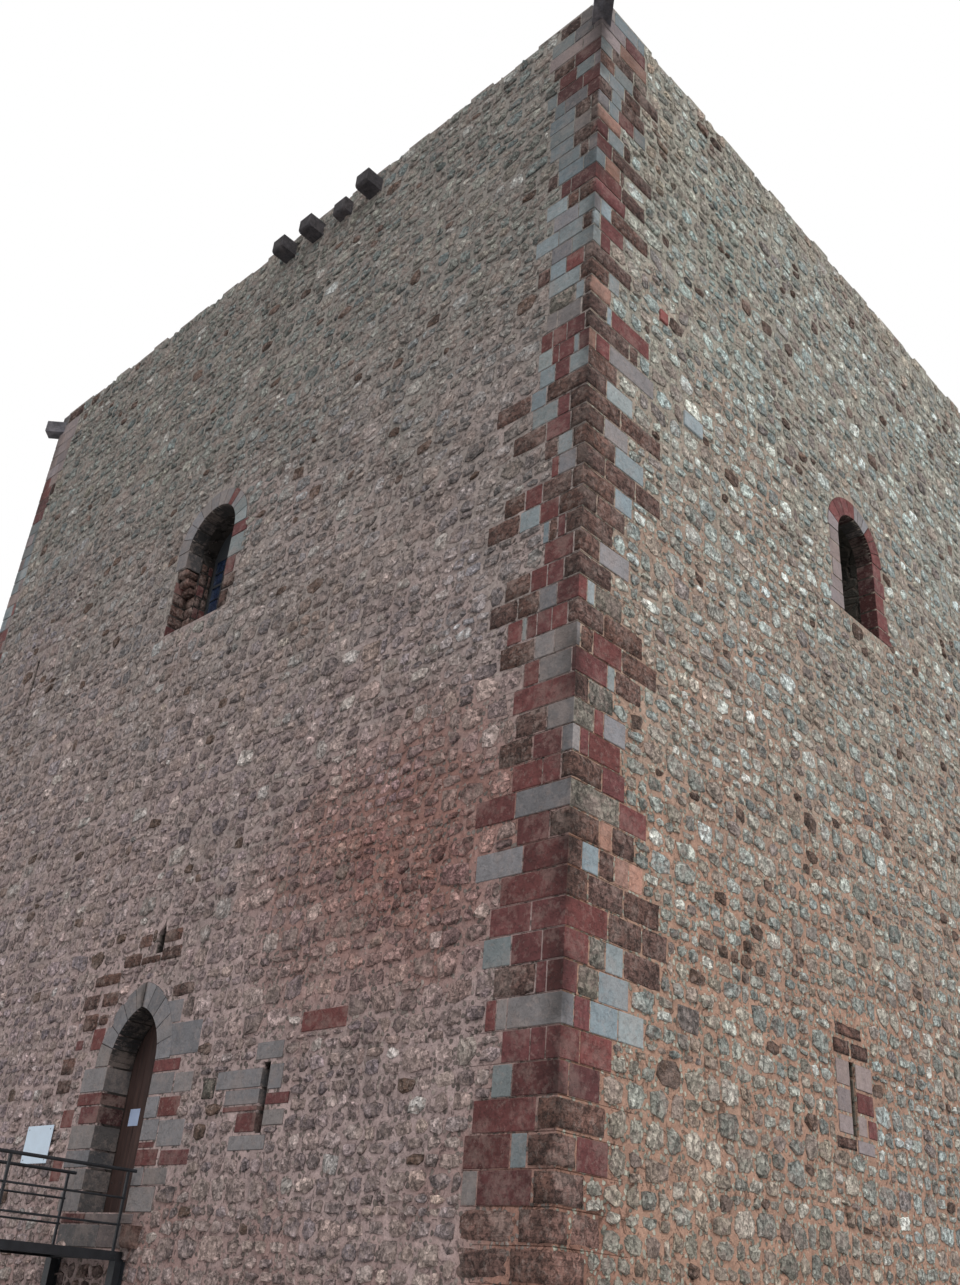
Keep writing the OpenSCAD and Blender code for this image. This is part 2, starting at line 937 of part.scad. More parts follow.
// Legs of H section on foot plates, under every second pair of posts and the last.
module gangway_legs() {
  top = beam_z - beam_h;
  color("#191c22")
    for (k = [0:bays])
      if (k % 2 == 0 || k == bays)
        each_side()
          translate([rail_x + leg_out, post_y(k) + (k == 0 ? leg_s / 2 : 0), 0]) {
            span([-leg_s / 2, -leg_s / 2, 0], [leg_s / 2, -leg_s / 2 + leg_t, top]);
            span([-leg_s / 2, leg_s / 2 - leg_t, 0], [leg_s / 2, leg_s / 2, top]);
            span([-leg_t / 2, -leg_s / 2, 0], [leg_t / 2, leg_s / 2, top]);
            span([-foot_s / 2, -leg_s / 2, 0], [foot_s / 2, leg_s / 2, foot_t]);
          }
}

// One railing: posts on the beam, a handrail and two lower rails.
module railing() {
  y_end = post_y(bays);
  for (k = [0:bays])
    span([rail_x - post_s / 2, post_y(k) - post_s / 2, beam_z],
         [rail_x + post_s / 2, post_y(k) + post_s / 2, beam_z + rail_h]);
  rail(rail_h, handrail_d, handrail_run, y_end);
  rail(rail_h * rail_mid, rail_d, rail_run, y_end);
  rail(rail_h * rail_low, rail_d, rail_run, y_end);
}

// A round rail at height h over the beams that runs past the end posts by run.
module rail(h, d, run, y_end) {
  translate([rail_x, post_y(0) + run, beam_z + h])
    rotate([90, 0, 0])
      cylinder(h = post_y(0) - y_end + 2 * run, d = d);
}

module gangway_railing_right() {
  color("#14161a") translate([gangway_x, 0, 0]) railing();
}

module gangway_railing_left() {
  color("#14161a") translate([gangway_x, 0, 0]) mirror([1, 0, 0]) railing();
}

front_wall_base();
front_wall_door_left();
front_wall_door_right();
front_wall_over_door();
front_wall_window_storey();
right_wall_lower();
right_wall_upper();
back_wall_lower();
back_wall_upper();
left_wall_lower();
left_wall_upper();
quoins_front_right();
quoins_front_left();
quoins_back_right();
quoins_back_left();
wall_head();
door_arch();
door_jambs();
door_sill();
threshold_corbel();
door_leaf();
door_straps();
door_pintles();
front_window_arch();
front_window_jamb();
front_window_glazing();
right_window_arch();
right_window_jambs();
back_window_surround();
left_window_surround();
front_slit_surround();
right_slit_surround();
machicolation_corbels();
corner_spouts();
basement_floor();
entrance_floor();
upper_floor();
roof_terrace();
gangway_beams();
gangway_cross_members();
gangway_deck();
gangway_legs();
gangway_railing_right();
gangway_railing_left();
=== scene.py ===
# %% [markdown]
# # A castle keep in rubble and dressed stone
# The real building is a square tower of rubble bedded in pink lime mortar. Its corners are
# toothed quoins of red, grey and brown stone, and a steel gangway leads to a pointed
# doorway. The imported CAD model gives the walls, floors, openings and steelwork. This lesson
# lays the visible stones on those walls one by one, and gives every surface its finish.

# %% Load the frame
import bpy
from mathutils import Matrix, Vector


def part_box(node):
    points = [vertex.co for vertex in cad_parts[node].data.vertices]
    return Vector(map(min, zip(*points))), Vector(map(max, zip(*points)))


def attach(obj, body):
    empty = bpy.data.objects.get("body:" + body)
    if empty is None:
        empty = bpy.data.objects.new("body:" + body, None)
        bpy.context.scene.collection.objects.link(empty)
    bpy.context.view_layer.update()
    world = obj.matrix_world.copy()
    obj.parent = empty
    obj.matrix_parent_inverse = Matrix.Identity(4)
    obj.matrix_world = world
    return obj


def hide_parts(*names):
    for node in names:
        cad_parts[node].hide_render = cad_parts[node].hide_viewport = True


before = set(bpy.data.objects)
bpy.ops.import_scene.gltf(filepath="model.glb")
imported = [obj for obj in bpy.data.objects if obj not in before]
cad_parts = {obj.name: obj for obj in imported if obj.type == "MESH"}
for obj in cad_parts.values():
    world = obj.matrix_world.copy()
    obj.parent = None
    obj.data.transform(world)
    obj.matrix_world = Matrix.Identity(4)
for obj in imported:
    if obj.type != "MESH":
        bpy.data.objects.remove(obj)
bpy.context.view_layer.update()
print("CAD nodes:", len(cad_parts))

# %% Libraries
import math

import bmesh
import bpy
import numpy as np
from mathutils import Matrix, Vector

# %% [markdown]
# ## Sizes
# Most of these are the lengths that the CAD model was drawn to, in metres. Each stone takes
# its place from them, so that the masonry meets the openings that are cut in the walls.

# %% Sizes of the keep
HALF = 8.35          # from the middle of the plan to a wall face
HEAD = 20.2          # top of the parapet stub
COURSE = 0.32        # one course of dressed stone
COURSES = 62         # number of the highest course, counted from 0
JOINT = 0.018        # mortar joint between dressed stones
WEAR = 0.007         # how far the edges of a dressed stone are worn back
RUBBLE_TOP = 19.84   # where the full courses of rubble end, under the stub
STOREY = 10.56       # where the lower and the upper part of a wall meet
TERRACE = 19.85      # top of the roof's slabs
HALL_REACH, TERRACE_REACH = 6.14, 7.74    # from the middle of the plan to the edge of the slabs
FOOT_END, HEAD_START = 12, 50             # courses where the foot of a corner ends and its head starts
DOOR_X, DOOR_W, DOOR_SILL, DOOR_SPRING, DOOR_RISE = 0.77, 1.164, 2.48, 4.32, 0.75
DOOR_RING, REVEAL = 0.34, 0.39
FRONT_WIN_X, FRONT_WIN_W, FRONT_WIN_SILL, FRONT_WIN_SPRING = -0.13, 1.34, 11.56, 13.25
SIDE_WIN_Y, SIDE_WIN_W, SIDE_WIN_SILL, SIDE_WIN_SPRING = -1.27, 1.15, 11.92, 13.43
WIN_RING, WIN_DEPTH = 0.33, 0.3

# %% [markdown]
# ## Faces of masonry
# Every stone lies on a flat face: a wall, or the side of an opening. It is easiest to think
# in the face's own directions, u along it, z up and w out of it, and to let one small class
# turn those into places in the keep. The four walls are then the same wall, turned.

# %% A face and its directions
class Face:
    """A flat face of masonry. u runs along it, z runs up and w comes out of it."""

    def __init__(self, origin, along, out, shade=1.0):
        self.origin, self.along, self.out = np.array(origin), np.array(along), np.array(out)
        # shade is painted light: it makes the dressed stones of a wall lighter or darker by how much light
        # falls on that wall.
        self.shade = shade    # makes its dressed stones lighter or darker
        self.blocked = []     # rectangles (u0, u1, z0, z1) that the rubble keeps clear of

    def place(self, u, z, w):
        """Places in the keep for arrays of u, z and w."""
        flat = self.origin + np.outer(u, self.along) + np.outer(w, self.out)
        flat[:, 2] += z
        return flat


# The last number is painted light: lighter dressed stones on the lit side walls, darker ones on the door
# wall.
FRONT = Face((0.0, -HALF, 0.0), (1.0, 0.0, 0.0), (0.0, -1.0, 0.0), 0.95)
RIGHT = Face((HALF, 0.0, 0.0), (0.0, 1.0, 0.0), (1.0, 0.0, 0.0), 1.28)
BACK = Face((0.0, HALF, 0.0), (-1.0, 0.0, 0.0), (0.0, 1.0, 0.0))
LEFT = Face((-HALF, 0.0, 0.0), (0.0, -1.0, 0.0), (-1.0, 0.0, 0.0), 1.1)
WALLS = [FRONT, RIGHT, BACK, LEFT]

# %% [markdown]
# ## Node materials
# Stone has to show the same grain when it is seen from any side, and after it is exported.
# So each material reads the object's own coordinates, in metres, and adds detail at two or
# three scales: blotches, grain and pits. The colour of each single stone is an attribute
# named tint, which is laid down with the stone.

# %% Colours and node helpers
def srgb(red, green, blue):
    """A colour written as on a screen, 0 to 255, as Blender's linear values."""
    def linear(value):
        value /= 255.0
        return value / 12.92 if value <= 0.04045 else ((value + 0.055) / 1.055) ** 2.4
    return (linear(red), linear(green), linear(blue), 1.0)


class Nodes:
    """Short calls that add nodes to one material and join them."""

    def __init__(self, name):
        self.material = bpy.data.materials.new(name)
        self.material.use_nodes = True
        self.tree = self.material.node_tree
        self.shader = self.tree.nodes["Principled BSDF"]
        self.coords = self.add("ShaderNodeTexCoord").outputs["Object"]

    def add(self, kind, **settings):
        node = self.tree.nodes.new(kind)
        for key, value in settings.items():
            setattr(node, key, value)
        return node

    def feed(self, socket, value):
        if hasattr(value, "is_output"):
            self.tree.links.new(value, socket)
        else:
            socket.default_value = value

    def mapped(self, scale):
        node = self.add("ShaderNodeMapping")
        node.inputs["Scale"].default_value = scale
        self.tree.links.new(self.coords, node.inputs["Vector"])
        return node.outputs["Vector"]

    def warped(self, scale, amount):
        """The object's coordinates, pushed about a little, so that cells lose their straight edges."""
        push = self.add("ShaderNodeTexNoise")
        self.tree.links.new(self.coords, push.inputs["Vector"])
        push.inputs["Scale"].default_value = scale
        spread = self.add("ShaderNodeVectorMath", operation="MULTIPLY_ADD")
        self.tree.links.new(push.outputs["Color"], spread.inputs[0])
        spread.inputs[1].default_value = (amount, amount, amount)
        self.tree.links.new(self.coords, spread.inputs[2])
        return spread.outputs["Vector"]

    def noise(self, scale, detail=3.0, rough=0.55, vector=None, distortion=0.0):
        node = self.add("ShaderNodeTexNoise")
        self.feed(node.inputs["Vector"], vector or self.coords)
        node.inputs["Scale"].default_value = scale
        node.inputs["Detail"].default_value = detail
        node.inputs["Roughness"].default_value = rough
        node.inputs["Distortion"].default_value = distortion
        return node.outputs["Fac"]

    def cells(self, scale, vector=None, feature="F1", output="Distance"):
        node = self.add("ShaderNodeTexVoronoi", feature=feature)
        self.feed(node.inputs["Vector"], vector or self.coords)
        node.inputs["Scale"].default_value = scale
        return node.outputs[output]

    def ramp(self, value, low, high, dark=0.0, light=1.0):
        """Spreads value from low to high over dark to light, and stops there."""
        node = self.add("ShaderNodeMapRange", clamp=True)
        for key, number in zip(("From Min", "From Max", "To Min", "To Max"), (low, high, dark, light)):
            node.inputs[key].default_value = number
        self.feed(node.inputs["Value"], value)
        return node.outputs["Result"]

    def math(self, operation, first, second=0.0):
        node = self.add("ShaderNodeMath", operation=operation)
        self.feed(node.inputs[0], first)
        self.feed(node.inputs[1], second)
        return node.outputs[0]

    def plus(self, first, second):
        return self.math("ADD", first, second)

    def times(self, first, second):
        return self.math("MULTIPLY", first, second)

    def mix(self, factor, first, second, blend="MIX"):
        node = self.add("ShaderNodeMix", data_type="RGBA", blend_type=blend)
        self.feed(node.inputs["Factor"], factor)
        self.feed(node.inputs["A"], first)
        self.feed(node.inputs["B"], second)
        return node.outputs["Result"]

    def split(self, colour, channel):
        node = self.add("ShaderNodeSeparateColor")
        self.feed(node.inputs["Color"], colour)
        return node.outputs[channel]

    def reaches(self):
        """How far a place lies from the middle of the plan, along x and along y, and its height."""
        axes = self.add("ShaderNodeSeparateXYZ")
        self.tree.links.new(self.coords, axes.inputs[0])
        x, y = (self.math("ABSOLUTE", axes.outputs[axis]) for axis in "XY")
        return x, y, axes.outputs["Z"]

    def shorter_reach(self):
        x, y, _ = self.reaches()
        return self.math("MINIMUM", x, y)

    def side_pick(self, front, side):
        """Two colours: one for the door wall and the back, one for the two walls beside them."""
        x, y, _ = self.reaches()
        return self.mix(self.ramp(self.math("SUBTRACT", x, y), -0.01, 0.01), front, side)

    def gain(self, colour, amount):
        """The colour made lighter or darker by a number that varies over the surface."""
        grey = self.add("ShaderNodeCombineColor")
        for channel in ("Red", "Green", "Blue"):
            self.feed(grey.inputs[channel], amount)
        return self.mix(1.0, colour, grey.outputs["Color"], "MULTIPLY")

    def bump(self, height, strength, distance, normal=None):
        node = self.add("ShaderNodeBump")
        node.inputs["Strength"].default_value = strength
        node.inputs["Distance"].default_value = distance
        self.feed(node.inputs["Height"], height)
        if normal is not None:
            self.feed(node.inputs["Normal"], normal)
        return node.outputs["Normal"]

    def finish(self, colour, rough, normal=None, metallic=0.0, specular=0.3):
        self.feed(self.shader.inputs["Base Color"], colour)
        self.feed(self.shader.inputs["Roughness"], rough)
        self.shader.inputs["Metallic"].default_value = metallic
        self.shader.inputs["Specular IOR Level"].default_value = specular
        if normal is not None:
            self.feed(self.shader.inputs["Normal"], normal)
        return self.material


# %% [markdown]
# ## Stone finishes
# Four finishes cover the masonry. Rubble is blotched and lichened limestone. Grey ashlar is
# smooth, with fine grain and a few stains. Red sandstone is fine and faintly layered. The
# brown stone is the same sandstone after centuries of weather: pitted and hollowed. One
# function makes them all, because they differ only in how strong each kind of detail is.

# %% Stone materials
def stone_material(name, blotch, grain, pits, layers, chips, smear, relief, base=None):
    """A stone finish. Without a base colour, each stone's own colour comes from its tint."""
    n = Nodes(name)
    colour = base or n.add("ShaderNodeAttribute", attribute_name="tint").outputs["Color"]
    wide = n.noise(4.0, 4.0, 0.62)
    fine = n.noise(38.0, 4.0, 0.7)
    speck = n.noise(150.0, 2.0, 0.6)
    colour = n.gain(colour, n.ramp(wide, 0.3, 0.7, 1.0 - blotch, 1.0 + blotch))
    colour = n.gain(colour, n.ramp(fine, 0.32, 0.68, 1.0 - grain, 1.0 + grain))
    bands = n.noise(1.0, 4.0, 0.65, n.mapped((3.0, 3.0, 30.0)), 0.5)
    colour = n.gain(colour, n.ramp(bands, 0.35, 0.65, 1.0 - layers, 1.0 + layers))
    bent = n.warped(9.0, 0.07)
    facet = n.cells(17.0, bent, "F1", "Distance")
    flake = n.split(n.cells(17.0, bent, "F1", "Color"), "Red")
    colour = n.gain(colour, n.ramp(flake, 0.0, 1.0, 1.0 - chips, 1.0 + chips))
    hollows = n.ramp(n.noise(15.0, 5.0, 0.72, distortion=0.8), 0.36, 0.50)
    colour = n.gain(colour, n.ramp(hollows, 0.0, 1.0, 1.0 - pits, 1.0))
    lime = n.ramp(n.noise(2.3, 6.0, 0.74), 0.50, 0.60, 0.0, smear)
    lime = n.math("MAXIMUM", lime, n.ramp(n.noise(8.5, 5.0, 0.75), 0.54, 0.60, 0.0, smear * 0.9))
    colour = n.mix(lime, colour, n.gain(LIME, n.ramp(fine, 0.3, 0.7, 0.8, 1.2)))
    arris = n.times(n.ramp(n.shorter_reach(), HALF - 0.30, HALF - 0.02, 0.0, 1.0),
                   n.ramp(n.noise(1.6, 4.0, 0.6), 0.40, 0.56, 0.0, 0.55))
    colour = n.gain(colour, n.math("SUBTRACT", 1.0, arris))
    height = n.plus(n.times(hollows, pits), n.times(fine, 0.5))
    height = n.plus(height, n.times(bands, layers * 2.0))
    height = n.plus(height, n.times(n.plus(facet, flake), chips * 1.6))
    normal = n.bump(height, 0.9, relief)
    normal = n.bump(speck, 0.35, 0.002, normal)
    return n.finish(colour, n.ramp(fine, 0.3, 0.7, 0.82, 0.97), normal)


LIME = srgb(164, 145, 137)
RUBBLE = stone_material("rubble_stone", 0.24, 0.32, 0.54, 0.06, 0.40, 0.62, 0.042)
ASHLAR = stone_material("ashlar_stone", 0.12, 0.12, 0.18, 0.03, 0.04, 0.24, 0.020)
SANDSTONE = stone_material("red_sandstone", 0.18, 0.15, 0.26, 0.06, 0.06, 0.26, 0.024)
WEATHERED = stone_material("weathered_brown_stone", 0.28, 0.28, 0.62, 0.26, 0.16, 0.50, 0.050)
STONES = [RUBBLE, ASHLAR, SANDSTONE, WEATHERED]
print("stone materials:", [m.name for m in STONES])

# %% [markdown]
# ## Mortar
# The CAD walls are the mortar that the stones are bedded in. On the real keep it is a pink
# lime mortar, browner towards the top, rough from the pointing trowel and full of grit. The
# inner faces have no laid stones, so there the same material draws rubble from Voronoi
# cells. It tells the faces apart by how far they lie from the middle of the plan.

# %% Mortar material
def mortar_material(name, front, side):
    n = Nodes(name)
    picked = (n.side_pick(here, there) for here, there in zip(front, side))
    low, high, stone, chips, stain_colour = picked
    x, y, z = n.reaches()
    reach = n.math("MAXIMUM", x, y)
    inside = n.ramp(reach, HALF - 0.035, HALF - 0.02, 1.0, 0.0)
    wide = n.noise(0.55, 5.0, 0.65)
    rise = n.plus(z, n.ramp(wide, 0.3, 0.7, -4.0, 4.0))
    colour = n.mix(n.ramp(rise, 5.0, 16.0), low, high)
    colour = n.mix(n.ramp(rise, -1.5, 3.0, 0.6, 0.0), colour, stain_colour)
    foot = n.times(n.ramp(n.shorter_reach(), HALF - 1.3, HALF - 0.7), n.ramp(z, 2.6, 4.6, 0.9, 0.0))
    colour = n.mix(foot, colour, srgb(146, 108, 94))
    signed = n.add("ShaderNodeSeparateXYZ")
    n.feed(signed.inputs[0], n.coords)
    along = n.times(n.math("SUBTRACT", signed.outputs["X"], 5.8), 0.42)
    above = n.times(n.math("SUBTRACT", z, 6.3), 0.62)
    away = n.plus(n.times(along, along), n.times(above, above))
    away = n.plus(away, n.ramp(n.noise(0.9, 5.0, 0.7), 0.3, 0.7, -0.7, 0.7))
    on_door_wall = n.ramp(signed.outputs["Y"], -8.2, -8.0, 1.0, 0.0)
    colour = n.mix(n.times(n.ramp(away, 0.2, 1.9, 0.85, 0.0), on_door_wall), colour, stain_colour)
    grit = n.noise(70.0, 4.0, 0.7)
    lumps = n.noise(13.0, 5.0, 0.7)
    stain = n.noise(1.7, 5.0, 0.7)
    colour = n.gain(colour, n.ramp(stain, 0.35, 0.65, 0.84, 1.14))
    colour = n.gain(colour, n.ramp(lumps, 0.3, 0.7, 0.70, 1.22))
    colour = n.gain(colour, n.ramp(grit, 0.3, 0.7, 0.82, 1.18))
    # Patches of raked-out joints are painted darker, down to 0.52, as painted shade in the deep joints. They
    # also add relief.
    raked_painted_shade = n.ramp(n.noise(8.0, 5.0, 0.72, distortion=1.2), 0.36, 0.44)
    colour = n.gain(colour, n.ramp(raked_painted_shade, 0.0, 1.0, 0.52, 1.04))
    bent = n.warped(12.0, 0.06)
    chance = n.cells(15.0, bent, "F1", "Color")
    near = n.cells(15.0, bent, "F1", "Distance")
    chip = n.times(n.ramp(near, 0.36, 0.46, 1.0, 0.0), n.ramp(n.split(chance, "Red"), 0.44, 0.46))
    shard = n.gain(chips, n.ramp(n.split(chance, "Green"), 0.0, 1.0, 0.45, 1.45))
    colour = n.mix(chip, colour, n.gain(shard, n.ramp(lumps, 0.3, 0.7, 0.8, 1.2)))
    squeezed = n.mapped((3.0, 3.0, 4.6))
    edge = n.cells(1.0, squeezed, "DISTANCE_TO_EDGE")
    shade = n.split(n.cells(1.0, squeezed, "F1", "Color"), "Red")
    face = n.ramp(edge, 0.03, 0.10)
    blocks = n.gain(stone, n.ramp(shade, 0.0, 1.0, 0.62, 1.30))
    blocks = n.gain(blocks, n.ramp(lumps, 0.3, 0.7, 0.74, 1.2))
    colour = n.mix(inside, colour, n.mix(face, colour, blocks))
    # Painted shade: faces that lie from 0.08 m to about 1.5 m in from the wall face, the sides of openings
    # and holes, are painted as dark as 0.15. The faces of the rooms further in are not.
    lit = n.math("MAXIMUM", n.ramp(reach, HALF - 0.08, HALF - 0.006, 0.15, 1.0),
                 n.ramp(reach, 6.3, 6.8, 1.0, 0.0))
    colour = n.gain(colour, lit)
    height = n.plus(n.times(lumps, 0.8), n.times(grit, 0.25))
    height = n.plus(height, n.plus(n.times(chip, 0.5), n.times(raked_painted_shade, 0.6)))
    height = n.plus(height, n.times(n.times(face, inside), 1.2))
    return n.finish(colour, 0.94, n.bump(height, 0.9, 0.03))


MORTAR = mortar_material(
    "lime_mortar",
    (srgb(168, 148, 145), srgb(140, 134, 128), srgb(124, 113, 107), srgb(138, 126, 120), srgb(142, 102, 92)),
    (srgb(171, 137, 119), srgb(160, 154, 143), srgb(136, 128, 116), srgb(160, 158, 145), srgb(156, 117, 98)))

# %% [markdown]
# ## Joining thousands of stones
# A wall holds about five thousand stones. As separate objects they would be slow to load and
# to export, so each stone is shaped once with modelling operators, and its copies are
# written into one mesh. The pile below keeps the places, the faces, the tint and the finish
# of all the stones laid so far, and turns them into an object at the end.

# %% A pile of stones
def in_scene(name, data):
    """A new object with this mesh, camera or lamp, linked to the scene."""
    thing = bpy.data.objects.new(name, data)
    bpy.context.scene.collection.objects.link(thing)
    return thing


class Pile:
    """Stones laid one after another and joined into a single mesh."""

    def __init__(self):
        self.places, self.loops, self.sides = [], [], []
        self.tints, self.finish, self.smooth = [], [], []
        self.count = 0

    def add(self, places, faces, tints, finish, smooth):
        """places is (stones, vertices, 3), and faces are those of one stone."""
        stones, verts = places.shape[:2]
        flat = np.concatenate([np.array(face) for face in faces])
        first = self.count + np.arange(stones)[:, None] * verts
        self.places.append(places.reshape(-1, 3))
        self.loops.append((first + flat[None, :]).ravel())
        self.sides.append(np.tile([len(face) for face in faces], stones))
        own = np.asarray(tints, float).reshape(stones, -1, 4)
        self.tints.append(np.broadcast_to(own, (stones, verts, 4)).reshape(-1, 4).copy())
        self.finish.append(np.repeat(np.asarray(finish), len(faces)))
        self.smooth.append(np.full(stones * len(faces), smooth))
        self.count += stones * verts

    def add_shape(self, bm, tint, finish, smooth=False, other=None, inner=None):
        """Adds one stone. other is (direction, tint, finish) for its faces that look that way.
        inner is (direction, shade) for its faces that look another way, which are painted darker as shade."""
        bm.normal_update()
        bm.verts.index_update()
        bm.faces.index_update()
        places = np.array([[v.co[:] for v in bm.verts]])
        self.add(places, [[v.index for v in face.verts] for face in bm.faces], [tint], [finish], smooth)
        if other:
            look, tint_there, finish_there = other
            there = [face for face in bm.faces if face.normal.dot(look) > 0.8]
            tints = self.tints[-1]
            for face in there:
                tints[[v.index for v in face.verts]] = tint_there
            self.finish[-1][[face.index for face in there]] = finish_there
        if inner:
            painted_shade_verts = {v.index for face in bm.faces if face.normal.dot(inner[0]) < 0.3 for v in face.verts}
            self.tints[-1][sorted(painted_shade_verts)] *= inner[1]
        bm.free()

    def add_cad(self, node):
        """Adds a merged copy of a CAD node as the bed of mortar behind the stones."""
        bm = bmesh.new()
        bm.from_mesh(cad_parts[node].data)
        bmesh.ops.remove_doubles(bm, verts=bm.verts, dist=1e-5)
        self.add_shape(bm, (0.3, 0.3, 0.3, 1.0), len(STONES))

    def build(self, name, materials):
        mesh = bpy.data.meshes.new(name)
        sides, loops = np.concatenate(self.sides), np.concatenate(self.loops)
        mesh.vertices.add(self.count)
        mesh.vertices.foreach_set("co", np.concatenate(self.places).ravel())
        mesh.loops.add(len(loops))
        mesh.polygons.add(len(sides))
        mesh.polygons.foreach_set("loop_start", np.concatenate([[0], np.cumsum(sides)[:-1]]))
        mesh.polygons.foreach_set("vertices", loops)
        mesh.polygons.foreach_set("material_index", np.concatenate(self.finish).astype(int))
        mesh.polygons.foreach_set("use_smooth", np.concatenate(self.smooth))
        tint = mesh.attributes.new("tint", "FLOAT_COLOR", "POINT")
        tint.data.foreach_set("color", np.concatenate(self.tints).ravel())
        for material in materials:
            mesh.materials.append(material)
        mesh.update(calc_edges=True)
        mesh.validate()
        piece = in_scene(name, mesh)
        mesh.calc_loop_triangles()
        print(name, "-", len(mesh.loop_triangles), "triangles")
        return piece


def finish_piece(pile, name, materials, body, nodes=()):
    """Builds a piece, and says what it rides and which CAD nodes it replaces."""
    piece = pile.build(name, materials)
    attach(piece, body)
    if nodes:
        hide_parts(*nodes)


def cover(nodes, material):
    """Gives CAD nodes a finish in place of their plain one."""
    for node in nodes:
        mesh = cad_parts[node].data
        mesh.materials.clear()
        mesh.materials.append(material)


def cut_off(bm, place, direction):
    """Cuts away what lies past a plane, closes the cut and returns the faces that close it."""
    cutting = bmesh.ops.bisect_plane(bm, geom=bm.verts[:] + bm.edges[:] + bm.faces[:], dist=1e-5,
                                     plane_co=place, plane_no=direction, clear_outer=True)
    rim = [part for part in cutting["geom_cut"] if isinstance(part, bmesh.types.BMEdge)]
    return bmesh.ops.holes_fill(bm, edges=rim, sides=0)["faces"] if rim else []


BEDDED = STONES + [MORTAR]
WHITE = (1.0, 1.0, 1.0, 1.0)
UPRIGHT = Matrix.Identity(4)

# %% [markdown]
# ## Rubble stones
# A fieldstone is a rounded lump with a flattish face. It starts as a disc of six to eight
# sides that is squared off, and two extrusions give it a shoulder and a smaller face. Forty
# such lumps, each dented in its own way, serve for all the walls. A lump that comes again is
# hard to notice, since each is stretched to the gap that it fills.

# %% Rubble templates
def rubble_template(rng):
    """One lump on the square from -1 to 1. Its face is at height 1, and its back at -1."""
    bm = bmesh.new()
    sides = int(rng.choice([6, 6, 7, 8]))
    bmesh.ops.create_circle(bm, cap_ends=True, segments=sides, radius=1.0)
    squareness = rng.uniform(0.42, 0.88)
    for vert in bm.verts:
        angle = math.atan2(vert.co.y, vert.co.x) + rng.uniform(-0.33, 0.33) + 0.195 * (sides - 6)
        stretch = rng.uniform(0.80, 1.06)
        for axis, part in ((0, math.cos(angle)), (1, math.sin(angle))):
            vert.co[axis] = math.copysign(abs(part) ** squareness, part) * stretch
        vert.co.z = -1.0
    ring = bm.faces[:]
    for height, shrink, dent in ((0.45, 0.97, 0.06), (1.0, 0.72, 0.17)):
        under = ring
        out = bmesh.ops.extrude_face_region(bm, geom=under)
        ring = [part for part in out["geom"] if isinstance(part, bmesh.types.BMFace)]
        if height == 1.0:
            bmesh.ops.delete(bm, geom=[f for f in under if f.is_valid], context="FACES_ONLY")
        tilt = rng.uniform(-0.50, 0.50, 2) * height
        # A dict keeps the vertices in order. In a set their order, and the stones, change with each run.
        for vert in dict.fromkeys(v for face in ring for v in face.verts):
            vert.co.x = vert.co.x * shrink + rng.uniform(-dent, dent)
            vert.co.y = vert.co.y * shrink + rng.uniform(-dent, dent)
            vert.co.z = height + rng.uniform(-0.38, 0.38) * height + tilt[0] * vert.co.x + tilt[1] * vert.co.y
    top = bmesh.ops.poke(bm, faces=ring)["verts"]
    shift = (rng.uniform(-0.3, 0.3), rng.uniform(-0.3, 0.3), rng.uniform(-0.3, 0.5))
    bmesh.ops.translate(bm, verts=top, vec=shift)
    bmesh.ops.recalc_face_normals(bm, faces=bm.faces)
    bm.verts.index_update()
    shape = np.array([v.co[:] for v in bm.verts]), [[v.index for v in f.verts] for f in bm.faces]
    bm.free()
    return shape


template_rng = np.random.default_rng(11)
TEMPLATES = [rubble_template(template_rng) for _ in range(40)]
face_counts = [len(faces) for _, faces in TEMPLATES]
print("a rubble stone has", min(face_counts), "to", max(face_counts), "faces")

# %% [markdown]
# ## Laying out the rubble
# A mason lays rubble roughly to courses, levelling up at each lift. Within a lift there are
# runs of tall stones, runs of two thinner rows, and small stones beside tall ones. The
# layout does the same: it fills each course with panels of those patterns, keeps clear of
# every dressed stone, and then bends the beds a little so that no line is quite straight.

# %% Cells of rubble
def cut(start, end, low, high, rng):
    """Cuts a length into stones between low and high long."""
    marks = [start]
    while end - marks[-1] > high:
        marks.append(marks[-1] + rng.uniform(low, high))
    if end - marks[-1] < low * 0.6 and len(marks) > 1:
        marks.pop()
    return marks + [end]


def pairs(marks):
    """The first and second mark, the second and third, and so on."""
    return zip(marks[:-1], marks[1:])


def panel_cells(u0, u1, z0, z1, rng):
    """The stones of one panel, in one of the patterns that the real wall shows."""
    rise, cells = z1 - z0, []
    if rise > 1.5 * COURSE:
        beds = [z0, z0 + rise * rng.uniform(0.28, 0.40), z0 + rise * rng.uniform(0.60, 0.72), z1]
    else:
        kind = rng.random()
        beds = [z0, z1] if kind < 0.60 else [z0, z0 + rise * rng.choice([0.36, 0.46, 0.54, 0.64]), z1]
    for low, high in pairs(beds):
        tall = high - low
        marks = cut(u0, u1, 0.50 * tall + 0.08, 1.0 * tall + 0.16, rng)
        for left, right in pairs(marks):
            if tall > 0.27 and right - left < 0.34 and rng.random() < 0.42:
                split = low + tall * rng.uniform(0.35, 0.65)
                cells += [(left, right, low, split), (left, right, split, high)]
            else:
                cells.append((left, right, low, high))
    return cells


def trimmed(cell, blocked):
    """The largest part of the cell that is clear of the blocked rectangles, or nothing."""
    for b in blocked:
        if cell[0] < b[1] and b[0] < cell[1] and cell[2] < b[3] and b[2] < cell[3]:
            u0, u1, z0, z1 = cell
            parts = [(u0, b[0], z0, z1), (b[1], u1, z0, z1), (u0, u1, z0, b[2]), (u0, u1, b[3], z1)]
            parts = [p for p in parts if p[1] - p[0] > 0.09 and p[3] - p[2] > 0.07]
            if not parts:
                return None
            cell = max(parts, key=lambda p: (p[1] - p[0]) * (p[3] - p[2]))
    return cell


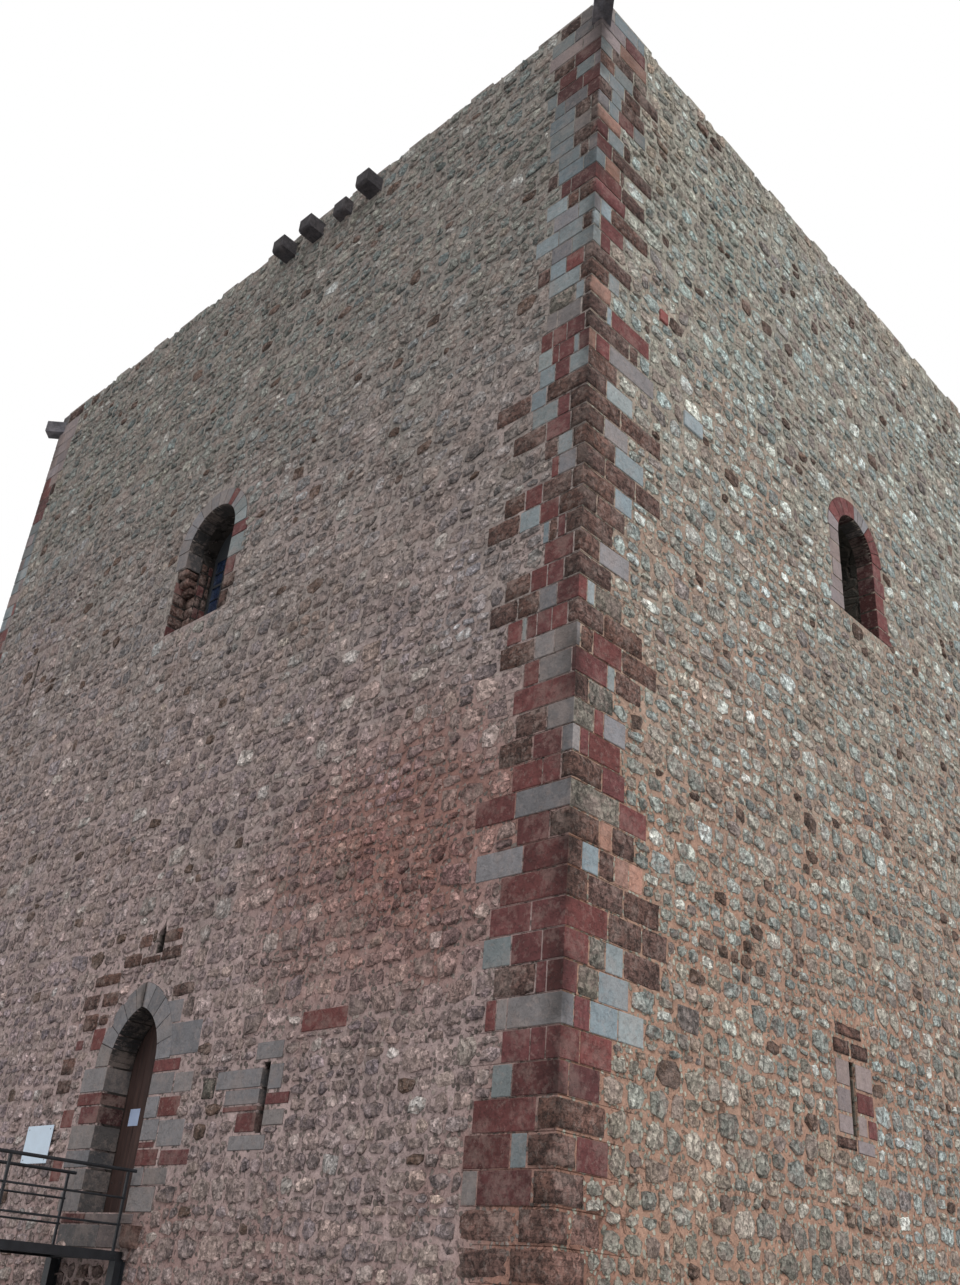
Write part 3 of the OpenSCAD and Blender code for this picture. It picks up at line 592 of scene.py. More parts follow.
def rubble_cells(blocked, z_top, rng):
    """Cells for a whole wall, from one corner to the other and from the ground to z_top."""
    cells, taken = [], list(blocked)
    for course in range(int(round(z_top / COURSE)) + 1):
        z0, z1 = course * COURSE, min((course + 1) * COURSE, z_top)
        if z1 - z0 < 0.08:
            continue
        walls = sorted((b[0], b[1]) for b in taken if min(b[3], z1) - max(b[2], z0) > 0.4 * (z1 - z0))
        start, gaps = -HALF, []
        for left, right in walls:
            if left - start > 0.08:
                gaps.append((start, left))
            start = max(start, right)
        if HALF - start > 0.08:
            gaps.append((start, HALF))
        for left, right in gaps:
            for u0, u1 in pairs(cut(left, right, 0.7, 2.1, rng)):
                top = z1
                if rng.random() < 0.24 and z1 + COURSE <= z_top:
                    top = z1 + COURSE
                    taken.append((u0, u1, z0, top))
                near = [b for b in blocked if b[0] < u1 and u0 < b[1] and b[2] < top and z0 < b[3]]
                for cell in panel_cells(u0, u1, z0, top, rng):
                    cell = trimmed(cell, near)
                    if cell:
                        cells.append(cell)
    return np.array(cells)


# %% [markdown]
# ## Bending the beds and setting the stones
# Each cell gives up its share of the mortar joint, its corners move a little, and a slow wave runs
# through all the beds. The wave fades out beside dressed stones, which were laid to a line.
# Then every cell takes one of the templates, mapped from the template's square to the four
# corners of the cell, and stands proud of the mortar by its own amount.

# %% Setting the stones
def wave(u, z, seed):
    """A slow wave in the beds: the same value for the same place, and no random draws."""
    return (np.sin(u * 1.7 + seed + 1.9 * np.sin(z * 0.9)) + np.sin(u * 3.9 - z * 2.3 + 2.0 * seed)
            + 0.7 * np.sin(u * 7.3 + z * 5.1 + seed)) / 2.7


def set_rubble(face, cells, colours, joint, proud, rng):
    """A pile with one stone in each cell on the face. proud is the least and most they stand out."""
    n = len(cells)
    corners = np.stack([cells[:, [0, 2]], cells[:, [1, 2]], cells[:, [1, 3]], cells[:, [0, 3]]], 1)
    flat = corners.reshape(-1, 2)
    clear = np.full(len(flat), 9.0)
    for b in face.blocked + [(-99, -HALF, -99, 99), (HALF, 99, -99, 99), (-99, 99, -99, 0.0)]:
        du = np.maximum(np.maximum(b[0] - flat[:, 0], flat[:, 0] - b[1]), 0.0)
        dz = np.maximum(np.maximum(b[2] - flat[:, 1], flat[:, 1] - b[3]), 0.0)
        clear = np.minimum(clear, np.hypot(du, dz))
    fade = np.clip(clear / 0.5, 0.0, 1.0)
    moved = flat + np.stack([0.016 * wave(flat[:, 1] * 1.3, flat[:, 0], 5.0) * fade,
                             0.040 * wave(flat[:, 0], flat[:, 1], 1.0) * fade], 1)
    corners = moved.reshape(n, 4, 2)
    centre = corners.mean(1, keepdims=True)
    size = np.stack([cells[:, 1] - cells[:, 0], cells[:, 3] - cells[:, 2]], 1)
    gap = joint * rng.uniform(0.6, 1.9, (n, 1))
    keep = np.clip(1.0 - gap / size, 0.45, 1.0)
    corners = centre + (corners - centre) * keep[:, None, :]
    corners += rng.uniform(-0.016, 0.016, corners.shape)
    corners[..., 1] = corners[..., 1].clip(0.012, None)
    kind = rng.integers(0, len(TEMPLATES), n)
    rng.random(n)    # not used: it keeps the numbers drawn after it, and so the stones, as they were
    lift = rng.uniform(*proud, n)
    tints, finish = colours(centre[:, 0, 0], centre[:, 0, 1], size, rng)
    pile = Pile()
    for index, (verts, faces) in enumerate(TEMPLATES):
        chosen = kind == index
        quad = corners[chosen]
        a, b = (verts[:, 0] + 1.0) / 2.0, (verts[:, 1] + 1.0) / 2.0
        place = (quad[:, 0, None] * ((1 - a) * (1 - b))[None, :, None]
                 + quad[:, 1, None] * (a * (1 - b))[None, :, None]
                 + quad[:, 2, None] * (a * b)[None, :, None]
                 + quad[:, 3, None] * ((1 - a) * b)[None, :, None])
        place[..., 1] = place[..., 1].clip(0.003, None)
        out = np.where(verts[:, 2] < 0.0, -0.02, verts[:, 2].clip(0.1, 1.9) * lift[chosen][:, None])
        # Painted shade and light: each stone is painted darker towards its foot in the mortar, where shade
        # falls in the crevices, and a little lighter on its face.
        shade = np.interp(verts[:, 2], (-0.5, 0.5, 1.2), (0.30, 0.86, 1.06))[None, :, None]
        solid = face.place(place[..., 0].ravel(), place[..., 1].ravel(), out.ravel())
        pile.add(solid.reshape(len(quad), -1, 3), faces, tints[chosen][:, None] * shade,
                 finish[chosen], False)
    return pile


# %% [markdown]
# ## The mason's palette
# Seven kinds of dressed stone turn up in the keep. Each has one usual colour, and every
# stone departs from it a little, because no two blocks come from the same bed.

# %% Kinds of stone
KINDS = {
    "R": (srgb(103, 61, 60), 2),    # red sandstone
    "G": (srgb(124, 120, 121), 1),  # grey ashlar
    "L": (srgb(128, 136, 139), 1),  # light blue-grey ashlar
    "P": (srgb(130, 118, 117), 1),  # pinkish-purple grey
    "O": (srgb(160, 122, 108), 2),  # orange-pink sandstone
    "S": (srgb(116, 110, 101), 0),  # olive-grey fieldstone
    "B": (srgb(101, 76, 69), 3),    # brown stone, deeply weathered
}


def stone_tint(letter, rng, shade=1.0):
    """The colour of one stone of that kind, and the index of its finish."""
    colour, finish = KINDS[letter]
    level = shade * rng.uniform(0.82, 1.2)
    warmth = rng.uniform(-0.05, 0.05)
    red, green, blue, _ = colour
    return (red * level * (1 + warmth), green * level, blue * level * (1 - warmth), 1.0), finish


# %% [markdown]
# ## Squared blocks
# A squared stone is a cube with its edges worn round, which is one bevel. A brown stone or a
# fieldstone is the same cube cut into a grid, whose points are then eaten back unevenly, more
# at the corners than in the middle. Both are made in the face's own directions and are then
# turned into place on their wall.

# %% One squared block
def block(size, middle, basis, rough, rng, wear=WEAR):
    """A block as a bmesh: size and middle are (along, up, out) in the basis."""
    bm = bmesh.new()
    bmesh.ops.create_cube(bm, size=1.0)
    if rough:
        bmesh.ops.subdivide_edges(bm, edges=bm.edges, cuts=3, use_grid_fill=True)
    spots = [2.0 * vert.co for vert in bm.verts]
    bmesh.ops.scale(bm, vec=size, verts=bm.verts)
    if rough:
        for vert, spot in zip(bm.verts, spots):
            x, y, z = (abs(part) for part in spot)
            for axis, edge in enumerate((max(y, z), max(x, z), max(x, y))):
                vert.co[axis] -= spot[axis] * 1.9 * wear * edge ** 5
            vert.co += Vector(rng.uniform(-0.006, 0.007, 3))
    else:
        bmesh.ops.bevel(bm, geom=bm.edges[:], offset=wear, offset_type="OFFSET", segments=1,
                        profile=0.5, affect="EDGES", material=-1, clamp_overlap=True)
    bmesh.ops.translate(bm, vec=middle, verts=bm.verts)
    bmesh.ops.transform(bm, matrix=basis, verts=bm.verts)
    return bm


def face_basis(face):
    """The matrix that turns (along, up, out) of a face into places in the keep."""
    along, out = Vector(face.along), Vector(face.out)
    turn = Matrix((along, Vector((0, 0, 1)), out)).transposed().to_4x4()
    return Matrix.Translation(Vector(face.origin)) @ turn


def face_block(pile, face, u0, u1, z0, z1, letter, rng, shade=1.0, out=0.008, deep=0.06, painted_inner_shade=1.0,
               gap=JOINT, wear=WEAR):
    """Lays a squared stone in the rectangle u0..u1, z0..z1 of a face."""
    tint, finish = stone_tint(letter, rng, shade * face.shade)
    rough = letter in "BS"
    out += rng.uniform(-0.003, 0.004) + (0.014 if rough else 0.0)
    size = (u1 - u0 - gap, z1 - z0 - gap, out + deep)
    bm = block(size, ((u0 + u1) / 2, (z0 + z1) / 2, (out - deep) / 2), face_basis(face), rough, rng, wear)
    # The faces of the stone that do not look out of the wall are painted darker, as painted shade in the
    # opening.
    pile.add_shape(bm, tint, finish, rough, inner=(Vector(face.out), painted_inner_shade))


# %% [markdown]
# ## Toothed quoins
# The corner that faces the visitor was read course by course, like a mason's schedule. Each
# entry starts with the number of the course. Then come the stones of the left face and, after
# the slash, those of the right face, going away from the arris, each with its kind and its
# length in centimetres. The first stone of both is the same corner block. The upper courses
# of the far front corner are listed too. The other stones are drawn at random in these habits.

# %% The schedule of the visible corner
CORNER = """
62 P15 G29 B42 / G31 L60 L19; 61 P15 G40 L48 / P60 R52; 60 P37 P69 / P47 O69;
59 R52 B44 / L27 B56 S35; 58 P12 L35 R35 / B35 L46 B67; 57 R33 R52 L21 / L23 L37 B42;
56 R23 G44 L21 / B30 L23 B60; 55 B15 B31 L50 / G25 L23 R38 L29; 54 B15 G31 L48 / O54;
53 B46 L46 / R25 L37 B17; 52 G15 B17 L42 / R35 B98; 51 L24 L48 B21 / L20 O35 B10;
50 R46 R19 / R60 B56; 49 B29 B22 L40 / R70; 48 L29 G46 / G14 L23 B88; 47 B20 L44 L44 / L14 R53;
46 L38 G38 / L16 R22; 45 B15 R32 L29 B24 / B87; 44 B21 L56 / B37 L23; 43 B12 L15 S48 / O43;
42 B16 G42 G19 / B35 L10 R85; 41 B8 R31 R25 R21 / B85 B20; 40 R17 L8 R26 R12 L25 / O14 R29 G98;
39 L31 R25 L27 / B60; 38 B69 L27 B62 / B39 L56; 37 B28 R20 L44 / B70 B88; 36 B25 R40 B58 / B37 G49;
35 B20 L24 B23 / B60 L60; 34 B13 G28 R12 / B41 B62 B54; 33 B18 B48 R28 B37 / B62 L35;
32 B37 R31 L33 B56 / B27 B56; 31 B25 R12 B14 L10 / B60; 30 B11 R46 / B35 G58;
29 B24 R26 R26 B42 / B60; 28 R33 G27 B35 B46 / R15 L14 S52; 27 B15 R24 R23 R16 L7 R24 / B47 B75;
26 G33 G30 B56 / G6 B23 R53 B69; 25 R6 G48 R24 / R56 L14 B50; 24 R92 / B24 S44;
23 G38 B48 / S35 R17 G40; 22 G15 R42 B52 / G12 R15 R56; 21 B15 R26 R44 / B52 R40;
20 G78 R60 / S83 R50; 19 B27 R46 / B50 O21 B40; 18 R62 G69 / B22 L28 B27 O25 O25;
17 R92 / B33 B60 B65; 16 R46 R58 / R68 B58 B46; 15 R29 R42 L40 / R38 S27 L30 B65;
14 R21 R14 B58 / R22 S33 L50; 13 G71 G15 R15 / G18 R25 L45 L43; 12 R18 R20 R38 / R29 R50;
11 R59 L27 / R14 R48; 10 B26 R83 / B72; 9 B35 L21 R62 / B29 R48; 8 B27 R69 G21 / B43;
7 B42 B77 / B22 B48; 6 B50 B69 / B47
"""


FAR_CORNER = """
61 P40 P30 / P45 P40; 60 P30 G30 / P35 P50; 59 P45 / P60 P20; 58 P30 P30 / P30 P45;
57 P40 / P50 P25; 56 P30 R30 / R30 P30; 55 P40 / R45 B20; 54 R35 / R50; 53 R45 / R30 R15;
52 L30 / L45; 51 P40 / P30 L15; 50 L30 / L45; 49 P45 / P20 L25; 48 L30 / L50; 47 L40 / L30 P15;
46 P30 / P45; 45 L45 / L35 R12; 44 R30 / L25 P20; 43 P40 / R45; 42 R30 / R35 P15; 41 R45 / R50;
40 R35 / R30 B20; 39 R40 / R45; 38 P30 / P30 R20
"""


def read_schedule(text):
    """{course: (stones of the left face, stones of the right face)}, lengths in metres."""
    rows = {}
    for row in text.replace("\n", " ").split(";"):
        number, stones = row.strip().split(" ", 1)
        sides = [[(word[0], int(word[1:]) / 100.0) for word in side.split()] for side in stones.split("/")]
        rows[int(number)] = tuple(sides)
    return rows


def random_side(course, rng):
    """Stones for one side of a course: long and short turn about, as in a toothed quoin."""
    reach = (0.95 if course % 2 else 0.55) + rng.uniform(-0.15, 0.2)
    kinds, stones = "RRRBBBGGLLP" if course > 7 else "BBBBS", []
    while sum(length for _, length in stones) < reach:
        stones.append((kinds[rng.integers(len(kinds))], rng.uniform(0.18, 0.62)))
    return stones


def corner_schedule(known, rng):
    rows = {}
    for course in range(COURSES + 1):
        first = random_side(course, rng)
        second = random_side(course + 1, rng)
        second[0] = (first[0][0], second[0][1])
        rows[course] = known.get(course, (first, second))
    return rows


# %% Laying a corner
def worn(letter, foot, head):
    """Joint, wear and tone of a quoin. At the foot, brown ones are eaten away in wide joints and red
    ones are darker. At the head, pink ones are lighter."""
    if foot and letter == "B":
        return 0.030, 0.012, 1.4
    if foot and letter == "R":
        return JOINT, WEAR, 0.8
    return JOINT, WEAR, 1.5 if head and letter == "P" else 1.0


def lay_corner(node, face, following, schedule, rng):
    """Lays a corner's stones. Returns the rectangles that they cover on both faces."""
    pile = Pile()
    pile.add_cad(node)
    covered, covered_next = [], []
    basis = face_basis(Face(face.place(HALF, 0.0, 0.0)[0], face.along, face.out))
    for course, (stones, others) in sorted(schedule.items()):
        z0, z1 = max(course * COURSE, 0.012), (course + 1) * COURSE
        (letter, a), (letter_next, b) = stones[0], others[0]
        rough = letter in "BS"
        foot, head = course < FOOT_END, course >= HEAD_START
        gap, _, own = worn(letter, foot, head)
        mid, tall = (z0 + z1) / 2, z1 - z0 - gap
        out = rng.uniform(0.006, 0.012) + (0.014 if rough else 0.0)
        # tone is partly painted light: the corner block's face on the following wall is painted lighter than
        # its other face, as the lit side. All quoins are darker at the head.
        tone = (1.0, 1.08, 1.0) if foot else (0.60, 0.66, 0.62) if head else (0.90, 1.0, 1.0)
        tint, finish = stone_tint(letter, rng, face.shade * tone[0] * own)
        tint_next, finish_next = stone_tint(letter_next, rng, following.shade * tone[1] * own)
        size = (a + out - gap / 2, tall, b + out - gap / 2)
        bm = block(size, (out - size[0] / 2, mid, out - size[2] / 2), basis, rough, rng)
        pile.add_shape(bm, tint, finish, rough, (Vector(following.out), tint_next, finish_next))
        for side, stones_left, at, sign, rects in ((face, stones[1:], a, -1, covered),
                                                  (following, others[1:], b, 1, covered_next)):
            for kind, length in stones_left:
                u0, u1 = sorted((sign * (at - HALF), sign * (at + length - HALF)))
                gap, wear, own = worn(kind, foot, head)
                face_block(pile, side, u0, u1, z0, z1, kind, rng, tone[2] * own, gap=gap, wear=wear)
                at += length
            rects.append((*sorted((sign * -HALF, sign * (at - HALF))), z0, z1))
    finish_piece(pile, node + "_stones", BEDDED, "keep", [node])
    return covered, covered_next


# %% [markdown]
# ## Dressed stones of the door wall
# The doorway, the slit beside it and a few single blocks were measured on the wall too. Each
# entry gives the kind of stone, then its left, right, lower and upper edge in metres. The
# stones right of the doorway and those round the slit turn the corner into the opening, so
# they are laid later. They are listed here because the rubble keeps clear of them.

# %% Measured stones of the door wall
WALL_STONES = """
R 4.36 5.175 4.41 4.66; G 1.37 2.31 4.34 4.775; G 1.275 1.775 4.775 5.09; R 1.36 1.98 4.15 4.31;
G 1.37 1.9 3.87 4.13; G 1.9 2.31 3.87 4.13; G 1.37 1.65 3.59 3.84; R 1.65 2.12 3.59 3.84;
G 1.36 1.74 3.31 3.57; G 1.74 2.31 3.23 3.56; R 1.36 1.71 3.23 3.31; R 1.36 1.84 3.025 3.21;
R 1.88 2.51 3.01 3.2; G 1.38 1.6 2.79 3.0; G 1.6 2.12 2.79 3.0; G 1.38 1.94 2.46 2.775;
B 1.37 1.9 2.31 2.43; G 2.84 3.71 3.84 4.075; G 3.06 3.71 3.65 3.84; R 3.06 3.71 3.575 3.65;
R 3.36 3.7 3.34 3.57; G 3.275 3.99 3.14 3.32; S 2.56 2.84 3.74 4.025; G 3.56 4.09 4.15 4.37;
R 3.93 4.325 3.63 3.775; G 3.93 4.275 3.4 3.59; G 3.91 4.15 3.8 4.1; R -0.76 -0.45 3.54 3.79;
R -0.725 -0.45 2.85 3.15; B -0.87 -0.43 5.15 5.38; B -0.36 0.075 5.15 5.38; B -0.74 -0.35 4.84 5.1;
B -0.32 -0.07 4.9 5.06; R -0.4 -0.08 4.56 4.87; R -0.82 -0.63 4.59 4.74; B -1.1 -0.725 4.26 4.51;
B -1.1 -0.71 4.0 4.21; B -0.66 0.025 5.46 5.65; B 0.025 0.49 5.66 5.87; B 0.49 0.98 5.66 5.79;
B 0.98 1.49 5.66 5.87; B 0.34 0.68 5.91 6.12; B 0.98 1.43 5.91 6.12; B 1.46 1.96 5.12 5.3
"""


def read_stones(text):
    rows = []
    for row in text.replace("\n", " ").split(";"):
        letter, *edges = row.split()
        rows.append((letter, *(float(edge) for edge in edges)))
    return rows


SIDE_WALL_STONES = "L -6.24 -5.78 12.84 13.12; R -6.82 -6.62 14.4 14.62"
wall_stones = read_stones(WALL_STONES)
side_wall_stones = read_stones(SIDE_WALL_STONES)
print(len(wall_stones), "measured stones on the door wall")

# %% Keeping the rubble clear of openings
def round_head(middle, width, sill, spring, extra, steps=6):
    """Rectangles that together cover an opening with a round head and its ring of stones."""
    half = width / 2 + extra
    rects = [(middle - half, middle + half, sill, spring)]
    for step in range(steps):
        low, high = half * step / steps, half * (step + 1) / steps
        reach = math.sqrt(max(half ** 2 - ((low + high) / 2) ** 2, 0.0))
        rects.append((middle - reach, middle + reach, spring + low, spring + high))
    return rects


door_half = DOOR_W / 2 + DOOR_RING
FRONT.blocked += [stone[1:] for stone in wall_stones]
RIGHT.blocked += [stone[1:] for stone in side_wall_stones]
# The doorway with its sill, the stones left of it, and the slit
FRONT.blocked += [(0.17, 1.38, 2.05, 4.4), (-0.45, 0.2, 2.35, 4.35), (3.68, 3.92, 3.3, 4.15)]
for share, z0, z1 in ((0.99, 4.32, 4.55), (0.88, 4.55, 4.8), (0.7, 4.8, 5.05), (0.45, 5.05, 5.25),
                      (0.2, 5.25, 5.4)):
    FRONT.blocked.append((DOOR_X - door_half * share, DOOR_X + door_half * share, z0, z1))
# The hole over the doorway and the upper slit
FRONT.blocked += [(0.78, 1.0, 5.79, 6.26), (-5.94, -5.8, 11.58, 12.62)]
FRONT.blocked += round_head(FRONT_WIN_X, FRONT_WIN_W, FRONT_WIN_SILL, FRONT_WIN_SPRING, WIN_RING)
for face, middle in ((RIGHT, SIDE_WIN_Y), (BACK, 0.0), (LEFT, 0.0)):
    face.blocked += round_head(middle, SIDE_WIN_W, SIDE_WIN_SILL, SIDE_WIN_SPRING, WIN_RING)
for face, middle in ((RIGHT, -2.67), (BACK, 0.0), (LEFT, 0.0)):
    face.blocked.append((middle - 0.5, middle + 0.5, 3.75, 5.3))

# %% Laying the four corners
corner_rng = np.random.default_rng(23)
known = read_schedule(CORNER)
for node, face, following, rows in (
        ("quoins_front_right", FRONT, RIGHT, known), ("quoins_back_right", RIGHT, BACK, {}),
        ("quoins_back_left", BACK, LEFT, {}), ("quoins_front_left", LEFT, FRONT, read_schedule(FAR_CORNER))):
    schedule = corner_schedule(rows, corner_rng)
    covered, covered_next = lay_corner(node, face, following, schedule, corner_rng)
    face.blocked += covered
    following.blocked += covered_next

# %% [markdown]
# ## The colours of the rubble
# The door wall is pinkish low down and turns olive-beige towards the top, with a reddish
# stain between the doorway and the corner. The side wall is paler: grey-green and chalky
# stones in warm mortar. Dark brown stones are scattered over both. Each stone takes one of a
# few base colours, by chance and by its place, and then its own lightness and warmth.

# %% Rubble colours
def pick(choices, shares, n, rng):
    """n colours drawn from the choices, by their shares."""
    table = np.array(choices)
    return table[rng.choice(len(table), n, p=np.array(shares) / sum(shares))].copy()


def vary(tints, rng):
    n = len(tints)
    level = rng.normal(1.0, 0.18, n).clip(0.6, 1.36)
    warm = rng.normal(0.0, 0.022, n)
    tints[:, :3] *= level[:, None]
    tints[:, 0] *= 1 + warm
    tints[:, 2] *= 1 - warm
    return tints


def soft_patch(u, z, middle, reach):
    """1 in the middle of a patch, falling smoothly to 0 outside it."""
    return np.exp(-((u - middle[0]) / reach[0]) ** 2 - ((z - middle[1]) / reach[1]) ** 2)


def dark_stones(tints, finish, share, size, rng):
    """Makes some of the stones that are under 0.55 m long brown, and about half of those weathered."""
    dark = (rng.random(len(tints)) < share) & (size[:, 0] < 0.55)
    tints[dark] = np.array(srgb(104, 84, 74)) * rng.uniform(0.7, 1.25, (dark.sum(), 1))
    finish[dark] = np.where(rng.random(dark.sum()) < 0.5, 3, 0)
    return tints, finish


FRONT_PATCHES = [
    (5.9, 6.3, 2.3, 1.55, -0.14, -0.46, -0.52), (3.2, 10.5, 0.7, 0.5, -0.05, -0.16, -0.24),
    (5.39, 7.24, 0.3, 0.35, 0.4, 0.5, 0.65), (4.26, 8.46, 0.3, 0.25, 0.25, 0.32, 0.3),
    (6.34, 9.94, 0.35, 0.25, 0.2, 0.3, 0.38), (6.36, 9.23, 0.3, 0.2, 0.15, 0.25, 0.3),
    (-3.05, 15.7, 0.3, 0.35, 0.3, 0.38, 0.36), (-8.0, 16.0, 0.7, 1.2, 0.45, 0.45, 0.45),
    # The patch at u 0.75, z 1.7 is painted shade: the wall under the gangway's deck is darkened there.
    (0.75, 1.7, 0.8, 0.45, -0.6, -0.66, -0.68), (6.6, 9.3, 0.9, 1.3, 0.18, 0.22, 0.26),
    (-2.4, 4.9, 1.5, 1.5, 0.12, 0.12, 0.16), (3.0, 14.0, 3.0, 2.5, 0.10, 0.09, 0.12),
    (-6.1, 13.2, 1.5, 2.0, -0.06, -0.12, -0.02), (1.0, 5.8, 1.0, 0.5, -0.08, -0.15, -0.17),
    (6.6, 2.8, 0.7, 1.5, 0.15, 0.15, 0.10)]
SIDE_PATCHES = [
    (-5.5, 17.0, 2.0, 2.5, -0.22, -0.15, -0.15), (-5.5, 9.0, 1.2, 2.0, 0.15, 0.11, 0.13),
    (-1.0, 3.6, 1.5, 1.5, 0.06, 0.15, 0.25), (-5.5, 3.0, 2.0, 1.0, -0.07, -0.13, -0.15)]


def patched(tints, u, z, patches):
    """Stones in each patch take its gain in red, green and blue."""
    for u0, z0, reach_u, reach_z, *gain in patches:
        tints[:, :3] *= 1 + soft_patch(u, z, (u0, z0), (reach_u, reach_z))[:, None] * gain
    return tints


def front_colours(u, z, size, rng):
    n = len(u)
    top = pick([srgb(135, 137, 131), srgb(147, 147, 139), srgb(124, 131, 128), srgb(141, 136, 128),
                srgb(172, 171, 166)], [36, 22, 20, 14, 5], n, rng)
    low = pick([srgb(167, 149, 146), srgb(150, 135, 136), srgb(178, 161, 156), srgb(142, 127, 127),
                srgb(190, 181, 176)], [34, 24, 20, 15, 5], n, rng)
    rise = np.clip((z + 1.4 * wave(u * 0.4, z * 0.4, 3.0) - 8.0) / 8.0, 0.0, 1.0)[:, None]
    tints = patched(vary(low * (1 - rise) + top * rise, rng), u, z, FRONT_PATCHES)
    tints *= 1 - np.clip((2.6 - z) / 2.0, 0.0, 1.0)[:, None] * np.array([0.0, 0.06, 0.12, 0.0])
    shade = np.clip((-u - 1.0) / 8.0, 0.0, 1.0)[:, None] * np.clip((9.0 - z) / 6.0, 0.0, 1.0)[:, None]
    tints *= 1 - shade * np.array([0.16, 0.20, 0.12, 0.0])
    return dark_stones(tints, np.zeros(n, int), 0.025, size, rng)


def side_colours(u, z, size, rng):
    n = len(u)
    tints = pick([srgb(176, 180, 172), srgb(184, 178, 165), srgb(156, 160, 154), srgb(212, 212, 203),
                  srgb(168, 153, 140), srgb(142, 130, 124)], [32, 24, 18, 9, 12, 6], n, rng)
    rise = np.clip((z - 6.0) / 7.0, 0.0, 1.0)[:, None]
    tints = patched(vary(tints * (1 + rise * np.array([0.20, 0.29, 0.34, 0.0])), rng), u, z, SIDE_PATCHES)
    tints *= 1 - np.clip((4.5 - z) / 4.0, 0.0, 1.0)[:, None] * np.array([0.08, 0.19, 0.27, 0.0])
    browned = np.maximum(soft_patch(u, z, (-6.8, 18.2), (0.8, 1.8)),
                         0.6 * np.clip((z - 19.0) / 0.8, 0.0, 1.0))
    tints *= 1 - browned[:, None] * np.array([0.20, 0.36, 0.44, 0.0])
    return dark_stones(tints, np.zeros(n, int), 0.035, size, rng)


# %% Stones on the outer face of the stub
stub = np.array([v.co[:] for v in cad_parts["wall_head"].data.vertices])


def head_height(u, face):
    """The height of the CAD stub at a place u along the outer face of a wall."""
    near = stub[np.abs((stub - face.place(u, 0.0, 0.0)[0]) @ face.out) < 0.01]
    along = (near - face.origin) @ face.along - u
    sides = [near[along * side >= 0][np.argsort(np.abs(along[along * side >= 0]))[:6], 2]
             for side in (-1, 1)]
    return min(side.max() for side in sides) if all(len(side) for side in sides) else HEAD - 0.2


def head_cells(face, rng):
    """One more row of stones, each as tall as the stub is at its place."""
    cells, marks = [], cut(-HALF, HALF, 0.16, 0.42, rng)
    for left, right in pairs(marks):
        top = min(head_height(u, face) for u in (left + 0.01, (left + right) / 2, right - 0.01)) - 0.02
        cell = trimmed((left, right, RUBBLE_TOP, top), face.blocked)
        if cell and cell[3] - cell[2] > 0.06:
            cells.append(cell)
    return np.array(cells)


# %% Laying the four walls
DOOR_WALL_STYLE = (front_colours, 0.018, (0.008, 0.034))
SIDE_WALL_STYLE = (side_colours, 0.026, (0.009, 0.034))
for face, name, style in ((FRONT, "front", DOOR_WALL_STYLE), (RIGHT, "right", SIDE_WALL_STYLE),
                          (BACK, "back", DOOR_WALL_STYLE), (LEFT, "left", SIDE_WALL_STYLE)):
    rng = np.random.default_rng(len(name) * 7 + 3)
    cells = np.concatenate([rubble_cells(face.blocked, RUBBLE_TOP, rng), head_cells(face, rng)])
    low = cells[:, 2] < STOREY
    for part, chosen in (("lower", low), ("upper", ~low)):
        finish_piece(set_rubble(face, cells[chosen], *style, rng), f"{name}_rubble_{part}", STONES,
                     "keep")
cover([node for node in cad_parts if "_wall_" in node or node == "wall_head"], MORTAR)

# %% Dressed stones of the door wall
pile = Pile()
stone_rng = np.random.default_rng(5)
for letter, u0, u1, z0, z1 in wall_stones:
    beside_door = 1.3 < u0 < 1.45 and z1 < 4.4
    beside_slit = 2.5 < u0 and u1 < 4.34 and z1 < 4.4
    if not beside_door and not beside_slit:
        face_block(pile, FRONT, u0, u1, z0, z1, letter, stone_rng)
for letter, u0, u1, z0, z1 in side_wall_stones:
    face_block(pile, RIGHT, u0, u1, z0, z1, letter, stone_rng, 1.35, out=0.03)
finish_piece(pile, "door_wall_stones", STONES, "keep")

# %% [markdown]
# ## Arch stones
# Each stone of an arch is a wedge. It starts as a block whose length runs along the curve
# and is cut into three, so that it can bend. Each point then turns round the centre of the
# arch by as much as it lies along the block. A pointed arch is the same thing twice, once
# round each centre, and the two stones at the top are cut off upright where they meet.

# %% One arch stone
def arch_stone(pile, face, centre, r0, r1, start, end, letter, rng, deep, crown=None, out=0.012, gap=0.006,
               shade=1.0, painted_inner_shade=0.15):
    """Lays a wedge between the angles start and end, in degrees from the right-hand side."""
    tint, finish = stone_tint(letter, rng, shade * face.shade)
    rough = letter in "BS"
    arc = math.radians(end - start) * (r0 + r1) / 2
    size = (arc - gap, r1 - r0 - gap, out + deep)
    bm = block(size, (0.0, 0.0, (out - deep) / 2), UPRIGHT, rough, rng)
    for side in (-0.17, 0.17):
        bmesh.ops.bisect_plane(bm, geom=bm.verts[:] + bm.edges[:] + bm.faces[:], dist=1e-5,
                               plane_co=(side * arc, 0, 0), plane_no=(1, 0, 0))
    middle = math.radians(start + end) / 2
    for vert in bm.verts:
        angle = middle - vert.co.x / ((r0 + r1) / 2)
        radius = (r0 + r1) / 2 + vert.co.y
        vert.co.x = centre[0] + radius * math.cos(angle)
        vert.co.y = centre[1] + radius * math.sin(angle)
    if crown is not None:
        side, limit = crown
        cut_off(bm, (limit, 0, 0), (side, 0, 0))
    bmesh.ops.transform(bm, matrix=face_basis(face), verts=bm.verts)
    # The faces of the wedge that do not look out of the wall, its underside in the opening, are painted
    # darker (0.15 unless given) as painted shade.
    pile.add_shape(bm, tint, finish, rough, inner=(Vector(face.out), painted_inner_shade))


